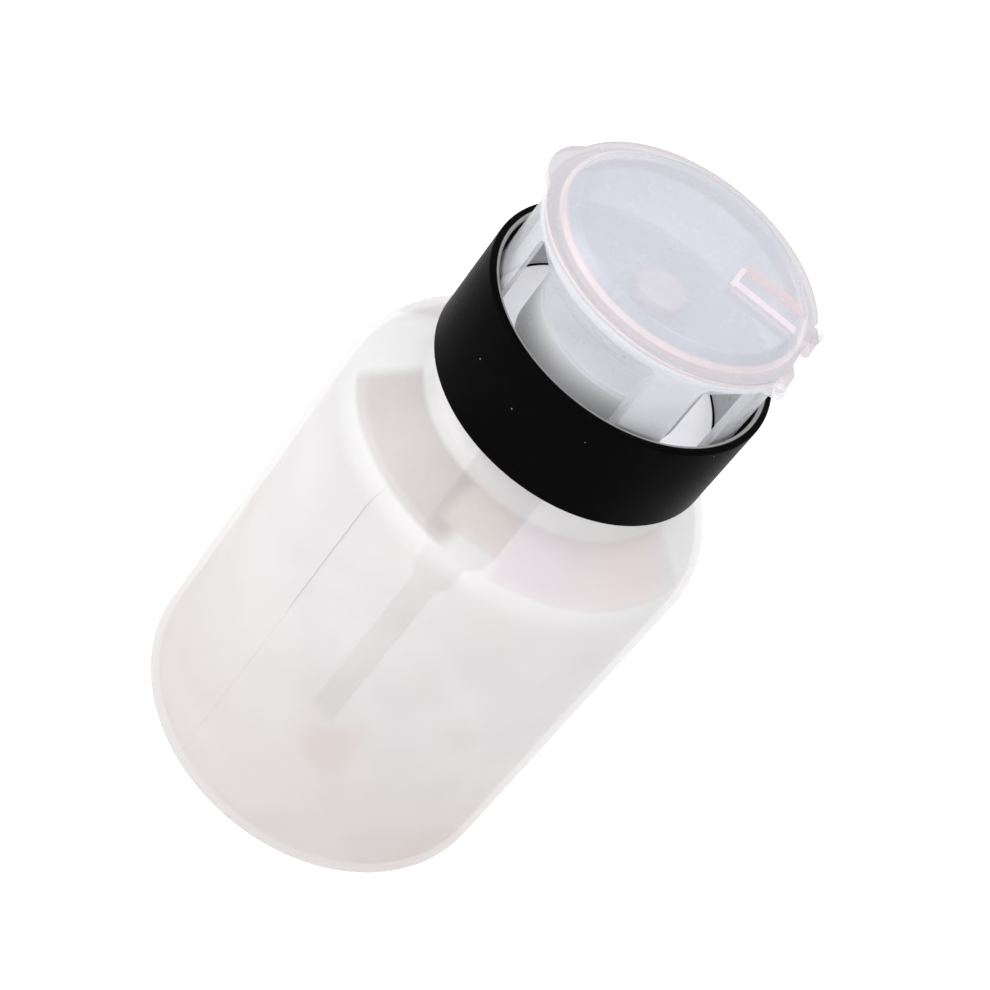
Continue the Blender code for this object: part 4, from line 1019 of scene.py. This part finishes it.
# %% [markdown]
# ## The lid
#
# The lid is a thin see-through moulding of clarified polypropylene. Its centre is raised on a short
# slope, a ring below centres it in the dish, and a tab opposite the hinge is for the thumb. A
# sunken channel runs from the centre out to the hinge side. Such a plastic looks grey-blue through
# its flat walls and pale pink where light runs along a wall: at an edge, a fold or the near side of
# the channel. The finish paints these as pink highlights, a zone for each of those places, and
# paints the top of the bar at the channel's end pink too.

# %% Finish of the lid
# Pink of the painted highlights on the lid.
EDGE_HIGHLIGHT_PINK = "DDD0D3"
EDGE_SLOPE = (0.6, 0.3)  # Z of a face's normal, where an edge sets in and where it is full
FLANGE_RADII = (19.3, 19.8)
FOLD_RADII = ((19.0, 19.4), (20.1, 19.7))  # sets in and is full, from inside and from outside
BAR_HEIGHTS = (120.25, 120.35)
# Where the near side of the channel gets its painted highlight.
CHANNEL_SIDE_X = (7.2, 18.2)
CHANNEL_SIDE_Y = (-0.1, 1.5)


def clear_lid_plastic():
    """Clarified PP, injection moulded: hazy grey-blue where thin, with painted pinkish highlights at
    its edges.
    """
    material, tree, shader = start_finish("clarified_polypropylene", IOR=POLYPROPYLENE_IOR)
    parts, radius, _ = round_place(tree)
    place = add_node(tree, "TexCoord")
    facing = add_node(tree, "SeparateXYZ", {"Vector": (place, "Normal")})
    flatness = add_node(tree, "Math", {0: (facing, "Z")}, operation="ABSOLUTE")
    edge = zone(tree, (flatness, *EDGE_SLOPE))
    flange = zone(tree, (radius, *in_metres(FLANGE_RADII)))
    fold = zone(tree, *[(radius, *in_metres(radii)) for radii in FOLD_RADII])
    bar_top_highlight = zone(tree, ((parts, "Z"), *in_metres(BAR_HEIGHTS)))
    across = between((parts, "Y"), *in_metres(CHANNEL_SIDE_Y), soft=0.3 * MM)
    along = between((parts, "X"), *in_metres(CHANNEL_SIDE_X), soft=0.4 * MM)
    lit_channel_side = zone(tree, *across, *along)
    # After the flange's warmer grey, every zone is a painted highlight: steep edges, the fold at the
    # slope's foot, the bar's top and the near side of the channel.
    layers = [
        (flange, "AFABB0"),
        (fold, "D2C7CA"),
        (edge, EDGE_HIGHLIGHT_PINK),
        (bar_top_highlight, EDGE_HIGHLIGHT_PINK),
        (lit_channel_side, "D6CCD5"),
    ]
    colour = laid_over(tree, flow_clouds(tree, "AFB1BC", "B3B5BF", size_mm=11), layers)
    tree.links.new(colour.outputs["Result"], shader.inputs["Base Color"])
    tool_grain(tree, shader, size_mm=3.0, detail=1, rough=(0.25, 0.28))
    thick = add_node(tree, "Math", {0: edge, 1: lit_channel_side}, operation="MAXIMUM")
    haze(tree, shader, seen=0.55, shade=0.03, thick_share=thick, thick=0.8)
    print(material.name, "has", len(layers), "zones")
    return material


# %% Lid
lid = turned(
    "see_through_lid",
    [
        (0, 120.2),
        (17.9, 120.2, 0.9),
        (19.8, 118.4, 0.45),
        (21.9, 118.4, 0.4),
        (21.9, 117.4, 0.4),
        (19.2, 117.4),
        (19.2, 116.4, 0.15),
        (18.4, 116.4, 0.15),
        (18.4, 118.381),
        (17.536, 119.2, 0.9),
        (0, 119.2),
    ],
    closed=False,
)

# %% Channel and thumb tab of the lid
def disc(name, radius, centre_x, low, high, steps=FINE_TURN):
    """A round plate in millimetres."""
    corners = []
    for i in range(steps):
        angle = 2 * math.pi * i / steps
        corners.append((centre_x + radius * math.cos(angle), radius * math.sin(angle)))
    return plate(name, corners, low, high)


CHANNEL_IN = 7.6
CHANNEL_FLARE = 17.9
CHANNEL_Y = (1.4, 6.5)
CHANNEL_FLOOR = 118.5

tray = box_tool("tray", (6.8, 0.6, 117.5), (21.9, 7.3, 119.7))
combine(tray, "INTERSECT", disc("tray_end", 18.8, 0, 117.0, 121.0))
channel = plate(
    "channel",
    [
        (CHANNEL_IN, CHANNEL_Y[0]),
        (CHANNEL_FLARE, CHANNEL_Y[0], 2.0),
        (23.9, -2.5),
        (23.9, 10.4),
        (CHANNEL_FLARE, CHANNEL_Y[1], 2.0),
        (CHANNEL_IN, CHANNEL_Y[1]),
    ],
    CHANNEL_FLOOR,
    122.0,
)
end_bar = box_tool("end_bar", (6.8, -0.6, 119.6), (7.6, 4.4, 120.4))
tab = disc("tab", 9.0, -14.3, 117.4, 118.4, 96)
combine(tab, "DIFFERENCE", disc("tab_root", 18.7, 0, 117.0, 119.0))
combine(lid, "UNION", tab, tray, end_bar)
combine(lid, "DIFFERENCE", channel)
print("the channel is", round(CHANNEL_FLARE - CHANNEL_IN, 1), "mm long before it widens")

# %% Ears and pins of the lid
EAR_ROOT = 18.9
EAR_FOOT = 117.5
EAR_TOP = 118.3
FLAT_HALF_WIDTH = 8.9
RELIEF_WIDTH = 2.0

lid_flat = box_tool("lid_flat", (20.5, -FLAT_HALF_WIDTH, 115.4), (24.0, FLAT_HALF_WIDTH, 120.4))
combine(lid, "DIFFERENCE", lid_flat)
for side in (-1, 1):
    low, high = sorted((side * (FLAT_HALF_WIDTH - RELIEF_WIDTH), side * FLAT_HALF_WIDTH))
    relief = box_tool(f"relief_{side:+d}", (20.05, low, 115.4), (24.0, high, 120.4))
    combine(lid, "DIFFERENCE", relief)
for side in (-1, 1):
    low, high = sorted((side * EAR_Y[0], side * EAR_Y[1]))
    corners = [(EAR_ROOT, EAR_FOOT), (EAR_ROOT, EAR_TOP), (HINGE_X - 0.6, EAR_TOP)]
    corners += arc(EAR_RADIUS, 40, -180, 18) + [(HINGE_X - EAR_RADIUS, EAR_FOOT)]
    ear = upright(f"ear_{side:+d}", corners, low, high)
    low, high = sorted((side * (EAR_Y[1] - 1), side * (EAR_Y[1] + 1)))
    pin = upright(f"pin_{side:+d}", arc(PIN_RADIUS, 0, 345, 23), low, high)
    combine(lid, "UNION", ear, pin)
dress(lid, clear_lid_plastic(), "lid", "flip_lid")
clear_scrap()

# %% [markdown]
# ## The pump inside
#
# What draws the liquid up is hidden or only faintly seen: cylinder, tube, spring, piston, stem,
# balls and seals. The tube and the cylinder show through the bottle, so they are turned again with
# their fillets, and the tube's foot is notched so that it can't suck itself shut on the floor. The
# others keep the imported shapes, which are right, and each gets the finish of its own material.

# %% Dip tube
TUBE_RADIUS = 2.3
TUBE_BORE = 1.6
TUBE_TOP = 49.5
TUBE_FOOT = 3.4
NOTCH_WIDTH = 3.0

tube_outside = [(TUBE_RADIUS, TUBE_TOP), (TUBE_RADIUS, TUBE_FOOT)]
tube_inside = [(TUBE_BORE, TUBE_FOOT), (TUBE_BORE, TUBE_TOP)]
tube = turned("dip_tube_pipe", tube_outside + tube_inside, steps=48)
half_side = NOTCH_WIDTH / math.sqrt(2) / 2
notch = box_tool("tube_notch", (-half_side, -3.8, -half_side), (half_side, 3.8, half_side))
to_foot = Matrix.Translation((0, 0, TUBE_FOOT * MM))
notch.data.transform(to_foot @ Matrix.Rotation(math.radians(45), 4, "Y"))
combine(tube, "DIFFERENCE", notch)
tube_finish = natural_plastic("tube_polyethylene", "C0B9B5", "CAC3BF", 0.4, cloud_mm=4.0)
dress(tube, tube_finish, "pump", "dip_tube")
clear_scrap()

# %% Pump cylinder
cylinder = turned(
    "pump_cylinder",
    [
        (16.2, 92.3, 0.15),
        (16.2, 91.1),
        (7.7, 91.1, 0.8),
        (7.7, 83.3, 0.8),
        (6.0, 81.6),
        (6.0, 50.8, 0.8),
        (3.6, 48.8, 0.8),
        (3.6, 42.0),
        (2.6, 42.0),
        (2.6, 49.8),
        (1.4, 49.8),
        (1.4, 50.8),
        (2.6, 52.0),
        (4.9, 52.0),
        (4.9, 84.4),
        (6.6, 84.4),
        (6.6, 92.3),
    ],
    steps=96,
)
cylinder_finish = natural_plastic("cylinder_polypropylene", "BBB4B0", "C5BEBB", 0.38, cloud_mm=5.0)
dress(cylinder, cylinder_finish, "pump", "pump_housing")

# %% [markdown]
# The spring is hard-drawn stainless wire, wound on a machine. It is a curve with a round bevel,
# made into a mesh so that it can be squeezed as the head goes down. Screwing a circle round the
# axis would look the same at rest, but a curve also gives flat caps at the two ends of the wire.

# %% Finish of the spring and the balls
STREAK_MM = 0.4


def drawn_steel(name, low, high, roughness):
    """Stainless steel, drawn or polished: bright grey, with fine scratches in its gloss."""
    material, tree, shader = start_finish(name, Metallic=1.0)
    colour = flow_clouds(tree, low, high, size_mm=STREAK_MM, detail=3)
    tree.links.new(colour.outputs["Result"], shader.inputs["Base Color"])
    rough = (roughness - 0.05, roughness + 0.08)
    tool_grain(tree, shader, STREAK_MM, detail=3, rough=rough, height_mm=0.004)
    return material


# %% Spring
SPRING_LOW = 57.453
SPRING_HIGH = 75.3
SPRING_RADIUS = 3.4
SPRING_TURNS = 8
SPRING_STEPS_A_TURN = 36
WIRE = 0.8


def spring_mesh():
    """Mesh of the coil of wire."""
    curve = bpy.data.curves.new("spring_wire", "CURVE")
    curve.dimensions = "3D"
    curve.bevel_depth = WIRE / 2 * MM
    curve.bevel_resolution = 4
    curve.use_fill_caps = True
    points = SPRING_STEPS_A_TURN * SPRING_TURNS
    spline = curve.splines.new("POLY")
    spline.points.add(points)
    for i, point in enumerate(spline.points):
        angle = 2 * math.pi * SPRING_TURNS * i / points
        height = SPRING_LOW + WIRE / 2 + (SPRING_HIGH - SPRING_LOW - WIRE) * i / points
        point.co = (
            SPRING_RADIUS * MM * math.cos(angle),
            SPRING_RADIUS * MM * math.sin(angle),
            height * MM,
            1,
        )
    wire = show("spring_wire", curve)
    bpy.context.view_layer.update()
    graph = bpy.context.evaluated_depsgraph_get()
    mesh = bpy.data.meshes.new_from_object(wire.evaluated_get(graph))
    bpy.data.objects.remove(wire)
    shape = bmesh.new()
    shape.from_mesh(mesh)
    bmesh.ops.remove_doubles(shape, verts=shape.verts, dist=WELD)
    shape.to_mesh(mesh)
    shape.free()
    return mesh


spring = show("return_spring_wire", spring_mesh())
spring_finish = drawn_steel("drawn_spring_steel", "B9BABC", "CFCFD0", 0.28)
dress(spring, spring_finish, "pump", "return_spring")
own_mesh(spring)

# %% [markdown]
# The hidden pieces are turned or moulded parts that no view shows at rest. They come to light only
# when the pump is lifted out or pressed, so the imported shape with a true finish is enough.

# %% Finishes of the hidden pieces
HIDDEN = {
    "neck_gasket": ("foam_liner_foam", "D8D8D6", "E2E2E0", 0.75),
    "housing_chaplet": ("bush_polyethylene", "E2E2DF", "EAEAE8", 0.42),
    "stem_wiper": ("wiper_polyethylene", "E6E6E3", "EEEEEB", 0.5),
    "ball_cage": ("cage_polypropylene", "DDDDDB", "E6E6E4", 0.42),
    "piston_seal": ("piston_polyethylene", "E4E4E2", "ECECEA", 0.48),
    "piston_plug": ("plug_polypropylene", "E0E0DE", "E8E8E6", 0.42),
    "upper_stem": ("stem_polypropylene", "E2E2E2", "EAEAEA", 0.38),
}


def finish_packed(node, finish):
    """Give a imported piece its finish."""
    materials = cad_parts[node].data.materials
    materials.clear()
    materials.append(finish)


for hidden_node, (finish_name, *look) in HIDDEN.items():
    finish_packed(hidden_node, natural_plastic(finish_name, *look, cloud_mm=3.0))
for ball_node in ("inlet_ball", "outlet_ball"):
    finish_packed(ball_node, drawn_steel(f"{ball_node}_steel", "CBCBCC", "D8D8D9", 0.14))
print("finished", len(HIDDEN) + 2, "packed pieces")
